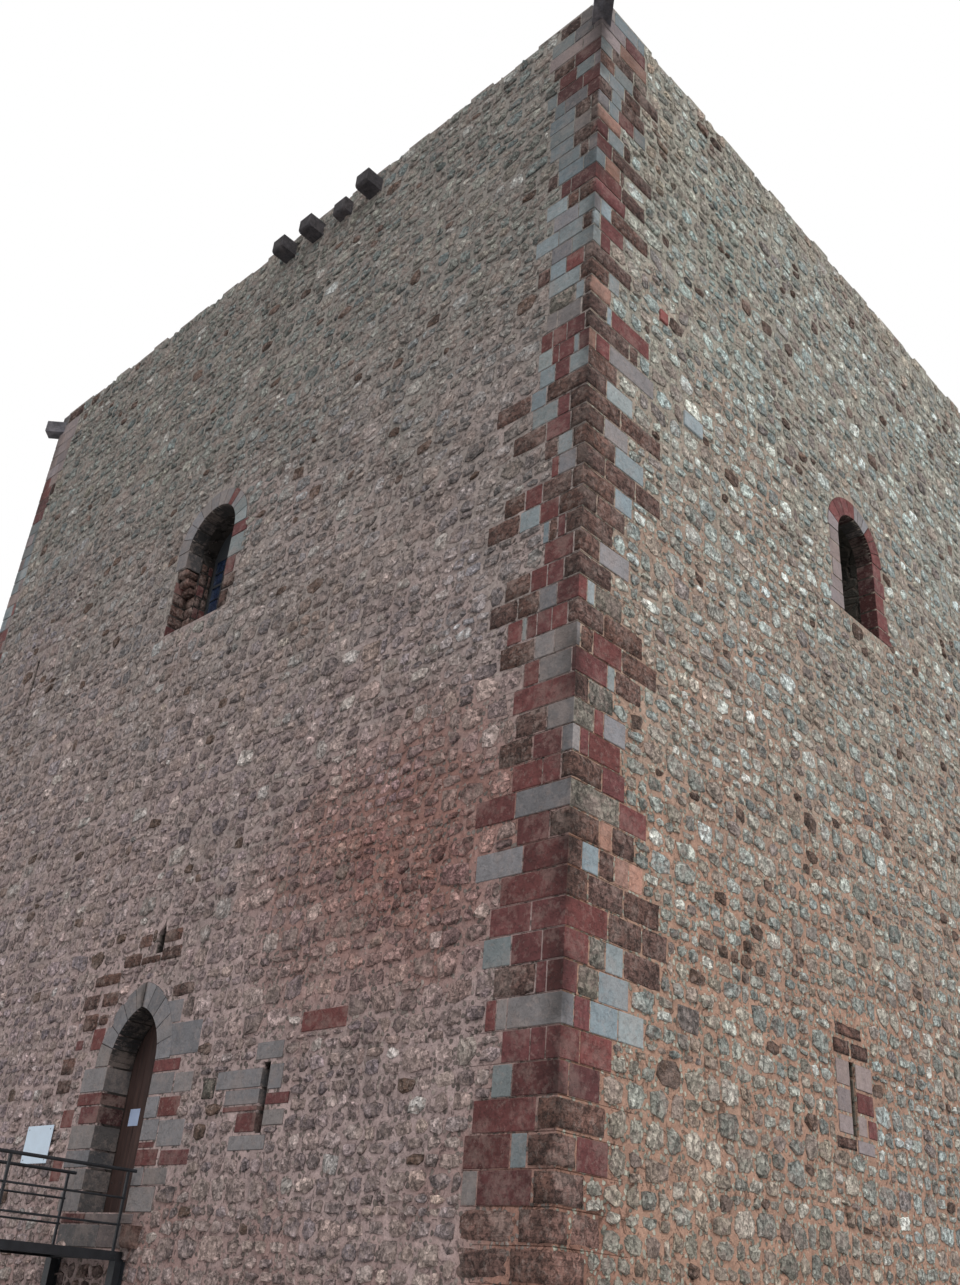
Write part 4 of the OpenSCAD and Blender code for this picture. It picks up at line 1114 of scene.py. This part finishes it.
def round_arch(pile, face, middle, width, spring, stones, rng):
    """Lays a round arch. stones are (kind, degrees) from the right-hand side to the left."""
    angle = 0.0
    for letter, turn in stones:
        arch_stone(pile, face, (middle, spring), width / 2 - 0.003, width / 2 + WIN_RING,
                   angle, angle + turn, letter, rng, WIN_DEPTH - 0.01)
        angle += turn


def jamb_side(pile, face, edge, side, rows, rng, deep):
    """Lays jamb stones away from the edge of an opening. rows are (kind, width, low, high)."""
    for letter, width, z0, z1 in rows:
        u0, u1 = sorted((edge - side * 0.010, edge + side * width))
        # The jamb stones' faces in the reveal are painted darker (0.34) as painted shade.
        face_block(pile, face, u0, u1, z0, z1, letter, rng, deep=deep, painted_inner_shade=0.34)


def bed_rows(kinds, widths, low, high, rng):
    """Rows of jamb stones with uneven heights between low and high."""
    share = rng.uniform(0.8, 1.25, len(kinds))
    marks = low + (high - low) * np.concatenate([[0.0], np.cumsum(share) / share.sum()])
    return [(kind, width, *row) for kind, width, row in zip(kinds, widths, pairs(marks))]


# %% [markdown]
# ## The pointed doorway
# Both arcs of the pointed arch are struck from points on the springing line. Their radius
# follows from the width and the rise: a quarter of the width squared plus the rise squared,
# over the width. The jamb stones run through the whole reveal.

# %% Doorway stones
pile = Pile()
door_rng = np.random.default_rng(31)
pile.add_cad("door_arch")
pile.add_cad("door_jambs")
radius = (DOOR_RISE ** 2 + DOOR_W ** 2 / 4) / DOOR_W
shift = radius - DOOR_W / 2
print("door arch radius", round(radius, 3))
for side, turns in ((1, (15, 17, 16, 17, 18)), (-1, (17, 15, 18, 16, 17))):
    centre = (DOOR_X - side * shift, DOOR_SPRING)
    angle = 0.0
    for turn in turns:
        start, end = (angle, angle + turn) if side > 0 else (180 - angle - turn, 180 - angle)
        crown = (-side, DOOR_X + side * JOINT / 2) if angle + turn > 60 else None
        arch_stone(pile, FRONT, centre, radius - 0.003, radius + DOOR_RING, start, end, "G", door_rng,
                   REVEAL - 0.005, crown)
        angle += turn
LEFT_JAMB = [("G", 0.61, 3.985, 4.32), ("R", 0.61, 3.81, 3.985), ("R", 0.48, 3.57, 3.81),
             ("G", 0.61, 3.25, 3.57), ("G", 0.61, 3.02, 3.25), ("G", 0.40, 2.74, 3.02),
             ("G", 0.53, 2.48, 2.74)]
RIGHT_JAMB = [("G", 0.53, 3.87, 4.15), ("G", 0.29, 3.58, 3.86), ("G", 0.38, 3.31, 3.58),
              ("R", 0.36, 3.22, 3.31), ("R", 0.48, 3.01, 3.22), ("G", 0.24, 2.78, 3.01),
              ("G", 0.58, 2.48, 2.78), ("R", 0.61, 4.15, 4.32)]
jamb_side(pile, FRONT, DOOR_X - DOOR_W / 2, -1, LEFT_JAMB, door_rng, REVEAL - 0.005)
jamb_side(pile, FRONT, DOOR_X + DOOR_W / 2, 1, RIGHT_JAMB, door_rng, REVEAL - 0.005)
finish_piece(pile, "doorway_stones", BEDDED, "keep", ["door_arch", "door_jambs"])

pile = Pile()
pile.add_cad("door_sill")
for letter, u0, u1, z0, z1 in (("R", -0.16, 0.42, 2.345, 2.475), ("P", 0.42, 1.56, 2.345, 2.475),
                               ("G", -0.16, 0.82, 2.07, 2.345), ("P", 0.82, 1.58, 2.07, 2.345)):
    face_block(pile, FRONT, u0, u1, z0, z1, letter, door_rng, shade=0.62, out=0.014)
finish_piece(pile, "door_sill_stones", BEDDED, "keep", ["door_sill"])

# %% [markdown]
# ## Window surrounds
# The window over the door has a grey arch with one red stone in it, and its left jamb has
# been broken away, so that the courses of the reveal show. The side window is red on one
# side and pink on the other. The two windows that the photograph hides have its shape, with
# stones in another order.

# %% Window over the door
window_rng = np.random.default_rng(41)
pile = Pile()
pile.add_cad("front_window_arch")
pile.add_cad("front_window_jamb")
round_arch(pile, FRONT, FRONT_WIN_X, FRONT_WIN_W, FRONT_WIN_SPRING,
           [("L", 17), ("L", 19), ("G", 13), ("R", 12), ("G", 14), ("G", 15),
            ("G", 16), ("G", 18), ("G", 18), ("G", 19), ("G", 19)], window_rng)
right_edge = FRONT_WIN_X + FRONT_WIN_W / 2
jamb_side(pile, FRONT, right_edge, 1,
          [("R", 0.42, 12.99, 13.25), ("L", 0.46, 12.56, 12.99), ("R", 0.26, 12.2, 12.56),
           ("B", 0.36, 11.9, 12.2), ("B", 0.24, 11.56, 11.9)], window_rng, WIN_DEPTH)
left_edge = FRONT_WIN_X - FRONT_WIN_W / 2
SPLAY = Face((left_edge, -HALF, 0.0), (0.0, 1.0, 0.0), (1.0, 0.0, 0.0))
BREAK = Face((left_edge - 0.24, -HALF, 0.0), (0.0, 1.0, 0.0), (1.0, 0.0, 0.0))
z = FRONT_WIN_SILL
while z < FRONT_WIN_SPRING - 0.1:
    top = min(z + window_rng.uniform(0.19, 0.27), FRONT_WIN_SPRING)
    split = window_rng.uniform(0.40, 0.48)
    # The reveal's stones are painted darker, 0.66 and 0.8, as painted shade in the reveal.
    for u0, u1 in ((0.30, split), (split, 0.555)):
        face_block(pile, SPLAY, u0, u1, z, top, "RBBB"[window_rng.integers(4)], window_rng, 0.66, out=0.006)
    if top < FRONT_WIN_SPRING - 0.30:
        face_block(pile, BREAK, 0.0, 0.31, z, top, "BBR"[window_rng.integers(3)], window_rng, 0.8, out=0.006)
        face_block(pile, FRONT, -1.04, -0.79, z, top, "BRB"[window_rng.integers(3)], window_rng,
                   out=-0.285, deep=0.34)
    z = top
jamb_side(pile, FRONT, left_edge, -1, [("G", 0.33, 12.9, 13.25)], window_rng, WIN_DEPTH)
for low, back in ((12.74, 0.02), (12.58, 0.09), (12.42, 0.17)):
    face_block(pile, FRONT, -1.06, -0.79, low, low + 0.165, "B", window_rng, out=-back, deep=0.30)
# The inner ring of wedges, deep in the opening, is painted dark (0.42) as painted shade.
inner_angle = 0.0
while inner_angle < 179.0:
    turn = min(window_rng.uniform(16, 24), 180.0 - inner_angle)
    arch_stone(pile, FRONT, (FRONT_WIN_X, FRONT_WIN_SPRING), FRONT_WIN_W / 2 - 0.004, FRONT_WIN_W / 2 + 0.1,
               inner_angle, inner_angle + turn, "BBS"[window_rng.integers(3)], window_rng, 0.555, out=-0.297,
               shade=0.42)
    inner_angle += turn
finish_piece(pile, "front_window_stones", BEDDED, "keep", ["front_window_arch", "front_window_jamb"])

# %% The other three windows
def side_window(name, face, middle, nodes, arch, left, right):
    pile = Pile()
    for node in nodes:
        pile.add_cad(node)
    round_arch(pile, face, middle, SIDE_WIN_W, SIDE_WIN_SPRING, arch, window_rng)
    for side, kinds in ((-1, left), (1, right)):
        widths = [0.36 if row % 2 else 0.29 for row in range(len(kinds))]
        widths[0] = 0.44
        rows = bed_rows(kinds, widths, SIDE_WIN_SILL, SIDE_WIN_SPRING, window_rng)
        jamb_side(pile, face, middle + side * SIDE_WIN_W / 2, side, rows, window_rng, WIN_DEPTH - 0.01)
    finish_piece(pile, name, BEDDED, "keep", nodes)


RED_ARCH = [("R", 18), ("R", 18), ("R", 16), ("G", 12), ("G", 12), ("G", 10),
            ("R", 16), ("R", 18), ("R", 20), ("R", 20), ("P", 20)]
side_window("right_window_stones", RIGHT, SIDE_WIN_Y, ["right_window_arch", "right_window_jambs"],
            RED_ARCH, "PPPPP", "RRRRR")
side_window("back_window_stones", BACK, 0.0, ["back_window_surround"], RED_ARCH[::-1], "RRPRR", "PRRPP")
side_window("left_window_stones", LEFT, 0.0, ["left_window_surround"], RED_ARCH, "RRRPR", "PPRPP")

# %% [markdown]
# ## Slits
# An arrow slit is a thin gap between dressed stones. The one by the door has a long lintel
# and uneven stones of three kinds, which are listed with the door wall. The slit of the side
# wall has pink and red stones beside it, and two brown ones over it.

# %% Slit stones
pile = Pile()
pile.add_cad("front_slit_surround")
near_slit = [row for row in wall_stones if 2.5 < row[1] and row[2] < 4.34 and row[4] < 4.4]
for letter, u0, u1, z0, z1 in near_slit:
    if z0 > 3.33 and z1 < 4.12:
        u0, u1 = (u0, 3.75) if u1 < 3.75 and u1 > 3.6 else (u0, u1)
        u0 = 3.875 if 3.9 < u0 < 3.95 else u0
    # The stones' faces in the slit are painted darker (0.3) as painted shade.
    face_block(pile, FRONT, u0, u1, z0, z1, letter, window_rng, deep=0.25, painted_inner_shade=0.3)
finish_piece(pile, "front_slit_stones", BEDDED, "keep", ["front_slit_surround"])

SLIT_STONES = [("P", -0.42, -0.07, 4.52, 4.84), ("P", -0.42, -0.07, 4.2, 4.5),
               ("P", -0.42, -0.07, 3.95, 4.18), ("P", 0.07, 0.5, 4.52, 4.84), ("R", 0.07, 0.5, 4.24, 4.5),
               ("P", 0.07, 0.3, 3.97, 4.22), ("R", 0.32, 0.55, 3.97, 4.2), ("B", -0.46, -0.03, 4.88, 5.1),
               ("B", -0.01, 0.44, 4.88, 5.1), ("B", -0.38, 0.3, 5.12, 5.3), ("B", -0.5, 0.0, 3.76, 3.93),
               ("P", 0.02, 0.45, 3.76, 3.93)]
for name, face, middle, nodes in (("right_slit_stones", RIGHT, -2.67, ["right_slit_surround"]),
                                  ("back_slit_stones", BACK, 0.0, []), ("left_slit_stones", LEFT, 0.0, [])):
    pile = Pile()
    for node in nodes:
        pile.add_cad(node)
    for letter, u0, u1, z0, z1 in SLIT_STONES:
        # The stones' faces in the slit are painted darker (0.3) as painted shade.
        face_block(pile, face, middle + u0, middle + u1, z0, z1, letter, window_rng,
                   deep=0.25 if nodes else 0.05, painted_inner_shade=0.3)
    finish_piece(pile, name, BEDDED, "keep", nodes)

# %% [markdown]
# ## The head of the wall
# The parapet is lost. What is left is a low stub with a ragged top, where some stones have
# gone. The CAD stub gives the steps. Loose-looking stones lie on top of it, flat side up.
# They are laid like a wall that lies on its back, with its own up pointing into the keep.

# %% Stones on the head of the wall
head_rng = np.random.default_rng(53)
pile = Pile()
for face in WALLS:
    for y0, y1 in ((0.01, 0.30), (0.31, 0.59)):
        marks = cut(-HALF + 0.05, HALF - 0.05, 0.22, 0.55, head_rng)
        for left, right in pairs(marks):
            if abs((left + right) / 2) > HALF - 0.75:
                continue
            top = min(head_height((left + right) / 2, face) + 0.03, HEAD - 0.035)
            verts, faces = TEMPLATES[head_rng.integers(len(TEMPLATES))]
            lift = min(head_rng.uniform(0.02, 0.09), HEAD - 0.012 - top)
            u = left + (verts[:, 0] + 1) / 2 * (right - left) * 0.97
            w = -(y0 + (verts[:, 1] + 1) / 2 * (y1 - y0)) + 0.02
            z = top - 0.06 + np.where(verts[:, 2] < 0, -0.02, verts[:, 2].clip(0, 1.25) * (lift + 0.04))
            places = face.place(u, z, w)[None]
            tint, _ = front_colours(np.array([left]), np.array([19.0]), np.array([[0.3, 0.3]]), head_rng)
            pile.add(places, [f[::-1] for f in faces], tint, [0], False)
finish_piece(pile, "wall_head_stones", STONES, "keep")

# %% [markdown]
# ## Stone that stays as the CAD made it
# The corbels, the spouts and the bracket under the threshold have the right shape already.
# They keep their CAD solids and take a weathered finish with a colour of their own.

# %% Finishes for the CAD's stone nodes
CORBEL_STONE = stone_material("corbel_stone",
                              0.22, 0.20, 0.40, 0.05, 0.16, 0.05, 0.022, srgb(62, 59, 62))
SPOUT_STONE = stone_material("spout_stone",
                             0.18, 0.14, 0.30, 0.04, 0.06, 0.12, 0.022, srgb(104, 102, 108))
BRACKET_STONE = stone_material("bracket_stone",
                               0.22, 0.20, 0.45, 0.12, 0.10, 0.25, 0.022, srgb(92, 70, 64))
cover(["machicolation_corbels"], CORBEL_STONE)
cover(["corner_spouts"], SPOUT_STONE)
cover(["threshold_corbel"], BRACKET_STONE)

# %% [markdown]
# ## Floors
# The floors and the terrace are paved with worn slabs. On the terrace and in the entrance
# hall, which can be seen into, each slab is a real block with its own tint and a slight tilt.
# The other two floors take the same finish, with joints drawn by a brick pattern.

# %% Slabs
def paving_material():
    n = Nodes("worn_paving")
    fine = n.noise(40.0, 4.0, 0.7)
    wide = n.noise(1.3, 5.0, 0.65)
    brick = n.add("ShaderNodeTexBrick", offset=0.4)
    n.feed(brick.inputs["Vector"], n.coords)
    for key, value in (("Scale", 1.0), ("Mortar Size", 0.014), ("Brick Width", 0.72), ("Row Height", 0.52),
                       ("Color1", srgb(120, 112, 102)), ("Color2", srgb(142, 132, 120)),
                       ("Mortar", srgb(92, 84, 76))):
        brick.inputs[key].default_value = value
    colour = n.gain(brick.outputs["Color"], n.ramp(fine, 0.3, 0.7, 0.82, 1.16))
    colour = n.gain(colour, n.ramp(wide, 0.3, 0.7, 0.78, 1.18))
    height = n.plus(n.times(fine, 0.4), n.times(brick.outputs["Fac"], -1.0))
    return n.finish(colour, n.ramp(wide, 0.3, 0.7, 0.68, 0.9), n.bump(height, 0.6, 0.012))


PAVING = paving_material()
cover(["basement_floor", "entrance_floor", "upper_floor", "roof_terrace"], PAVING)
slab_rng = np.random.default_rng(61)


def lay_slabs(name, reach, top, clear):
    """Lays slabs over a square floor, except where clear says that something else stands."""
    pile, y = Pile(), -reach
    while y < reach - 0.05:
        deep = min(slab_rng.uniform(0.45, 0.68), reach - y)
        marks = cut(-reach, reach, 0.45, 0.95, slab_rng)
        for left, right in pairs(marks):
            x = (left + right) / 2
            if clear(x, y + deep / 2):
                continue
            tilt = Matrix.Rotation(slab_rng.uniform(-0.005, 0.005), 4, "X")
            basis = Matrix.Translation((x, y + deep / 2, top)) @ tilt
            size = (right - left - JOINT, deep - JOINT, 0.04)
            bm = block(size, (0.0, 0.0, -0.004), basis, False, slab_rng, 0.006)
            tint, _ = stone_tint("SSG"[slab_rng.integers(3)], slab_rng, 1.2)
            pile.add_shape(bm, tint, 1)
        y += deep
    finish_piece(pile, name, STONES, "keep")


lay_slabs("terrace_slabs", TERRACE_REACH, TERRACE, lambda x, y: abs(x) > 7.0 and abs(y) > 7.0)
lay_slabs("hall_slabs", HALL_REACH, DOOR_SILL, lambda x, y: False)

# %% [markdown]
# ## The door
# The leaf is made of upright boards. A copy of the CAD leaf is sliced between two planes for
# each board, the cut faces are filled, and the edges along the cuts are bevelled, so that
# the boards keep the pointed outline. Each board has its own shade of dark stained oak.

# %% Door boards
def wood_material(name, dark, light, ring_scale):
    n = Nodes(name)
    tint = n.add("ShaderNodeAttribute", attribute_name="tint").outputs["Color"]
    grain = n.noise(1.0, 5.0, 0.65, n.mapped(ring_scale), 0.4)
    wide = n.noise(2.4, 4.0, 0.6)
    colour = n.mix(n.ramp(grain, 0.3, 0.7), dark, light)
    colour = n.mix(1.0, colour, tint, "MULTIPLY")
    colour = n.gain(colour, n.ramp(wide, 0.3, 0.7, 0.75, 1.2))
    return n.finish(colour, n.ramp(grain, 0.3, 0.7, 0.55, 0.8), n.bump(grain, 0.5, 0.003))


DARK_OAK = wood_material("dark_oak", srgb(49, 38, 37), srgb(81, 62, 58), (26.0, 26.0, 1.6))


leaf_low, leaf_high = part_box("door_leaf")
board_rng = np.random.default_rng(71)
BOARDS = 7
board_width = (leaf_high.x - leaf_low.x) / BOARDS
pile = Pile()
for number in range(BOARDS):
    bm = bmesh.new()
    bm.from_mesh(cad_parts["door_leaf"].data)
    bmesh.ops.remove_doubles(bm, verts=bm.verts, dist=1e-5)
    bmesh.ops.dissolve_limit(bm, angle_limit=0.01, verts=bm.verts, edges=bm.edges)
    for line, side in ((number, -1), (number + 1, 1)):
        if 0 < line < BOARDS:
            edge = leaf_low.x + line * board_width
            made = cut_off(bm, (edge - side * 0.0015, 0, 0), (side, 0, 0))
            corners = [e for f in made for e in f.edges if abs(e.verts[0].co.y - e.verts[1].co.y) < 1e-4]
            bmesh.ops.bevel(bm, geom=corners, offset=0.005, offset_type="OFFSET", segments=2, profile=0.5,
                            affect="EDGES", material=-1, clamp_overlap=True)
    bmesh.ops.recalc_face_normals(bm, faces=bm.faces)
    level = board_rng.uniform(0.8, 1.15)
    pile.add_shape(bm, (level, level * 0.98, level * 0.96, 1.0), 0)
finish_piece(pile, "door_boards", [DARK_OAK], "door", ["door_leaf"])

# %% [markdown]
# ## Ironwork
# Straps and hinge pins are wrought iron, blackened, with a hammered surface and rust where
# water stands. Each strap is held by a few clenched nails with domed heads.

# %% Iron and nails
def iron_material(name, base, rust, share, rough):
    n = Nodes(name)
    wide = n.noise(6.0, 5.0, 0.65)
    fine = n.noise(70.0, 3.0, 0.6)
    worn = n.ramp(n.noise(3.0, 6.0, 0.72), 0.66 - share, 0.72 - share * 0.8)
    colour = n.gain(base, n.ramp(wide, 0.3, 0.7, 0.7, 1.5))
    colour = n.mix(worn, colour, rust)
    normal = n.bump(n.plus(wide, n.times(fine, 0.4)), 0.35, 0.004)
    roughness = n.ramp(fine, 0.3, 0.7, rough - 0.1, rough + 0.15)
    return n.finish(colour, roughness, normal, metallic=0.35, specular=0.5)


WROUGHT_IRON = iron_material("wrought_iron", srgb(46, 45, 46), srgb(86, 56, 42), 0.08, 0.6)
cover(["door_straps", "door_pintles"], WROUGHT_IRON)


def domed_head(place, radius, rise, turn):
    """A nail or bolt head: half of a coarse ball, flattened, with its back closed."""
    bm = bmesh.new()
    bmesh.ops.create_uvsphere(bm, u_segments=8, v_segments=4, radius=radius)
    cut_off(bm, (0, 0, -radius * 0.2), (0, 0, -1))
    bmesh.ops.scale(bm, vec=(1, 1, rise / radius), verts=bm.verts)
    bmesh.ops.transform(bm, matrix=Matrix.Translation(place) @ turn, verts=bm.verts)
    return bm


strap_low, strap_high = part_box("door_straps")
heights = (round(strap_low.z, 2) + 0.03, round(strap_high.z, 2) - 0.03)
pile = Pile()
outward = Matrix.Rotation(math.radians(90), 4, "X")
for height in heights:
    for step in range(6):
        x = leaf_low.x + (step + 0.5) * (leaf_high.x - leaf_low.x) / 6
        if height > 4.4 and abs(x - DOOR_X) > 0.42:
            continue
        nail = domed_head((x, leaf_low.y + 0.001, height), 0.014, 0.006, outward)
        pile.add_shape(nail, WHITE, 0, True)
finish_piece(pile, "door_nails", [WROUGHT_IRON], "door")

# %% [markdown]
# ## Bare plates
# A thin pale plate is fixed to the wall beside the door, and a small sheet to the leaf. Both
# are left bare. A plate is a block with small bevels, held a little off the wall.

# %% Plates
def plate_material(name, colour):
    n = Nodes(name)
    fine = n.noise(90.0, 3.0, 0.6)
    wide = n.noise(5.0, 4.0, 0.6)
    shade = n.gain(n.gain(colour, n.ramp(wide, 0.3, 0.7, 0.92, 1.05)), n.ramp(fine, 0.3, 0.7, 0.97, 1.03))
    return n.finish(shade, n.ramp(wide, 0.3, 0.7, 0.4, 0.6), n.bump(fine, 0.15, 0.001), specular=0.5)


PLATE = plate_material("pale_plate", srgb(199, 215, 231))
SHEET = plate_material("pale_blue_sheet", srgb(176, 192, 222))
STEEL_HEAD = iron_material("screw_heads", srgb(120, 122, 124), srgb(110, 90, 76), -0.04, 0.4)
plate_rng = np.random.default_rng(81)
on_front = face_basis(FRONT)
pile = Pile()
plate = block((0.71, 0.50, 0.012), (-1.205, 3.34, 0.046), on_front, False, plate_rng, 0.002)
pile.add_shape(plate, WHITE, 0)
for x, z in ((-1.50, 3.14), (-0.91, 3.14), (-1.50, 3.54), (-0.91, 3.54)):
    spacer = block((0.02, 0.02, 0.06), (x, z, 0.012), on_front, False, plate_rng, 0.004)
    pile.add_shape(spacer, WHITE, 1)
    pile.add_shape(domed_head((x, -HALF - 0.052, z), 0.012, 0.005, outward), WHITE, 1, True)
finish_piece(pile, "bare_panel", [PLATE, STEEL_HEAD], "keep")
pile = Pile()
sheet_place = (0.46, 3.70, -leaf_low.y - HALF + 0.0005)
pile.add_shape(block((0.24, 0.22, 0.003), sheet_place, on_front, False, plate_rng, 0.0008), WHITE, 0)
finish_piece(pile, "bare_sheet", [SHEET], "door")

# %% [markdown]
# ## Glazing
# The glazing of the window over the door keeps its CAD solid. Its panes are sunk a little
# behind the frame, so the material can tell pane from frame by depth: dark glass behind,
# painted frame in front. Thin bars cross the panes.

# %% Glass and bars
def glazing_material(front):
    n = Nodes("dark_glazing")
    axes = n.add("ShaderNodeSeparateXYZ")
    n.tree.links.new(n.coords, axes.inputs[0])
    pane = n.ramp(axes.outputs["Y"], front + 0.004, front + 0.008)
    dust = n.noise(5.0, 5.0, 0.65)
    wave_in_glass = n.noise(2.2, 2.0, 0.5)
    glass = n.mix(n.ramp(dust, 0.35, 0.65), srgb(28, 38, 58), srgb(48, 60, 84))
    colour = n.mix(pane, srgb(46, 48, 52), glass)
    roughness = n.ramp(pane, 0.0, 1.0, 0.6, 0.16)
    return n.finish(colour, roughness, n.bump(wave_in_glass, 0.2, 0.01), specular=0.5)


glazing_low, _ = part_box("front_window_glazing")
cover(["front_window_glazing"], glazing_material(glazing_low.y))
PAINTED_BAR = iron_material("painted_bars", srgb(44, 46, 50), srgb(70, 54, 46), -0.02, 0.5)
on_panes = Matrix.Translation((0, glazing_low.y + 0.012, 0)) @ outward
pile = Pile()
for pane_x in (FRONT_WIN_X - FRONT_WIN_W / 4, FRONT_WIN_X + FRONT_WIN_W / 4):
    bars = [((0.016, 2.05, 0.014), 12.64)]
    bars += [((0.52, 0.016, 0.014), FRONT_WIN_SILL + 0.06 + row * 0.56 + 0.255) for row in range(3)]
    for size, height in bars:
        bar = block(size, (pane_x, height, 0.0), on_panes, False, plate_rng, 0.003)
        pile.add_shape(bar, WHITE, 0)
finish_piece(pile, "glazing_bars", [PAINTED_BAR], "keep")

# %% [markdown]
# ## Gangway
# Beams, legs and railings are steel with satin black paint and a few patches of rust. The deck is
# made of boards, each a block with worn edges and two screws at each end.

# %% Steel and deck boards
BLACK_STEEL = iron_material("black_painted_steel", srgb(38, 40, 44), srgb(88, 66, 54), -0.01, 0.45)
cover(["gangway_beams", "gangway_cross_members", "gangway_legs", "gangway_railing_right",
       "gangway_railing_left"], BLACK_STEEL)
DECK_OAK = wood_material("weathered_deck", srgb(84, 76, 68), srgb(138, 128, 116), (1.8, 30.0, 30.0))
deck_low, deck_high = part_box("gangway_deck")
PLANK = 0.15
pile = Pile()
y = deck_high.y
while y > deck_low.y + 0.02:
    deep = min(PLANK, y - deck_low.y)
    middle = ((deck_low.x + deck_high.x) / 2, y - deep / 2, (deck_low.z + deck_high.z) / 2)
    size = (deck_high.x - deck_low.x, deep - 0.007, deck_high.z - deck_low.z)
    level = board_rng.uniform(0.78, 1.15)
    board = block(size, middle, UPRIGHT, False, board_rng, 0.004)
    pile.add_shape(board, (level, level, level, 1.0), 0)
    for x in (deck_low.x + 0.06, deck_high.x - 0.06):
        for shift_y in (-0.04, 0.04):
            if deep > 0.12:
                head = domed_head((x, middle[1] + shift_y, deck_high.z), 0.006, 0.002, UPRIGHT)
                pile.add_shape(head, WHITE, 1, True)
    y -= PLANK
finish_piece(pile, "deck_boards", [DECK_OAK, STEEL_HEAD], "keep", ["gangway_deck"])

# %% Bolts of the steelwork
BAY, BAYS, POST_START, RAIL_X = 1.6, 4, -8.51, 0.73
pile = Pile()
for number in range(BAYS + 1):
    y = POST_START - number * BAY
    for side in (-1, 1):
        turn = Matrix.Rotation(math.radians(90 * side), 4, "Y")
        for shift_y, z in ((-0.03, 1.965), (0.03, 1.965), (-0.03, 2.01), (0.03, 2.01)):
            place = (DOOR_X + side * (RAIL_X + 0.015), y + shift_y, z)
            pile.add_shape(domed_head(place, 0.009, 0.006, turn), WHITE, 0, True)
        if number % 2 == 0:
            middle = y + (0.07 if number == 0 else 0.0)
            for dx, dy in ((-0.095, -0.045), (0.095, -0.045), (-0.095, 0.045), (0.095, 0.045)):
                place = (DOOR_X + side * (RAIL_X + 0.03) + dx, middle + dy, 0.015)
                pile.add_shape(domed_head(place, 0.012, 0.009, UPRIGHT), WHITE, 0, True)
finish_piece(pile, "gangway_bolts", [BLACK_STEEL], "keep")

# %% [markdown]
# ## Camera, light and floor
# The direction and the lens of the camera were solved from the edges of the two walls in the
# photograph. Its distance from the corner, 12 m, and its height, 1.6 m, were chosen. The
# light is that of a studio: an even white world, and one wide lamp from the right, which
# leaves the door wall a little darker than the side wall.

# %% Camera
SENSOR = 36.0                                # in millimetres
FOCAL_LENGTH, PHOTO_WIDTH = 1220.709, 960.0    # in pixels
camera_data = bpy.data.cameras.new("camera")
camera_data.sensor_fit = "HORIZONTAL"
camera_data.sensor_width = SENSOR
camera_data.lens = SENSOR * FOCAL_LENGTH / PHOTO_WIDTH
camera_data.clip_end = 2000.0
camera = in_scene("camera", camera_data)
yaw, pitch, roll = (math.radians(a) for a in (45.66278, 29.08023, 4.86959))
camera.matrix_world = (Matrix.Translation((16.1419, -17.4761, 1.6)) @ Matrix.Rotation(yaw, 4, "Z")
                       @ Matrix.Rotation(math.radians(90.0) + pitch, 4, "X") @ Matrix.Rotation(roll, 4, "Z"))
bpy.context.scene.camera = camera

# %% World and lamp
world = bpy.data.worlds.new("studio")
bpy.context.scene.world = world
world.use_nodes = True
tree = world.node_tree
background = tree.nodes["Background"]
path = tree.nodes.new("ShaderNodeLightPath")
seen = path.outputs["Is Camera Ray"]
for kind in ("Is Glossy Ray", "Is Transmission Ray"):
    larger = tree.nodes.new("ShaderNodeMath")
    larger.operation = "MAXIMUM"
    tree.links.new(seen, larger.inputs[0])
    tree.links.new(path.outputs[kind], larger.inputs[1])
    seen = larger.outputs[0]
colour = tree.nodes.new("ShaderNodeMix")
colour.data_type = "RGBA"
colour.inputs["A"].default_value = (0.60, 0.60, 0.60, 1.0)
colour.inputs["B"].default_value = (1.0, 1.0, 1.0, 1.0)
tree.links.new(seen, colour.inputs["Factor"])
tree.links.new(colour.outputs["Result"], background.inputs["Color"])
background.inputs["Strength"].default_value = 1.0

sun_data = bpy.data.lights.new("soft_lamp", "SUN")
sun_data.energy = 1.9
sun_data.angle = math.radians(25.0)
sun = in_scene("soft_lamp", sun_data)
sun.matrix_world = Vector((0.62, -0.36, 0.70)).to_track_quat("Z", "Y").to_matrix().to_4x4()

# %% Floor
bm = bmesh.new()
bmesh.ops.create_circle(bm, cap_ends=True, segments=64, radius=600.0)
mesh = bpy.data.meshes.new("floor")
bm.to_mesh(mesh)
bm.free()
floor = in_scene("floor", mesh)
pale = bpy.data.materials.new("pale_floor")
pale.use_nodes = True
shader = pale.node_tree.nodes["Principled BSDF"]
shader.inputs["Base Color"].default_value = (0.62, 0.62, 0.62, 1.0)
shader.inputs["Roughness"].default_value = 0.9
mesh.materials.append(pale)

# %% [markdown]
# ## Colour view
# The view transform is Standard, so that colours show as they are written.

# %% Set the view transform
scene = bpy.context.scene
scene.view_settings.view_transform = "Standard"
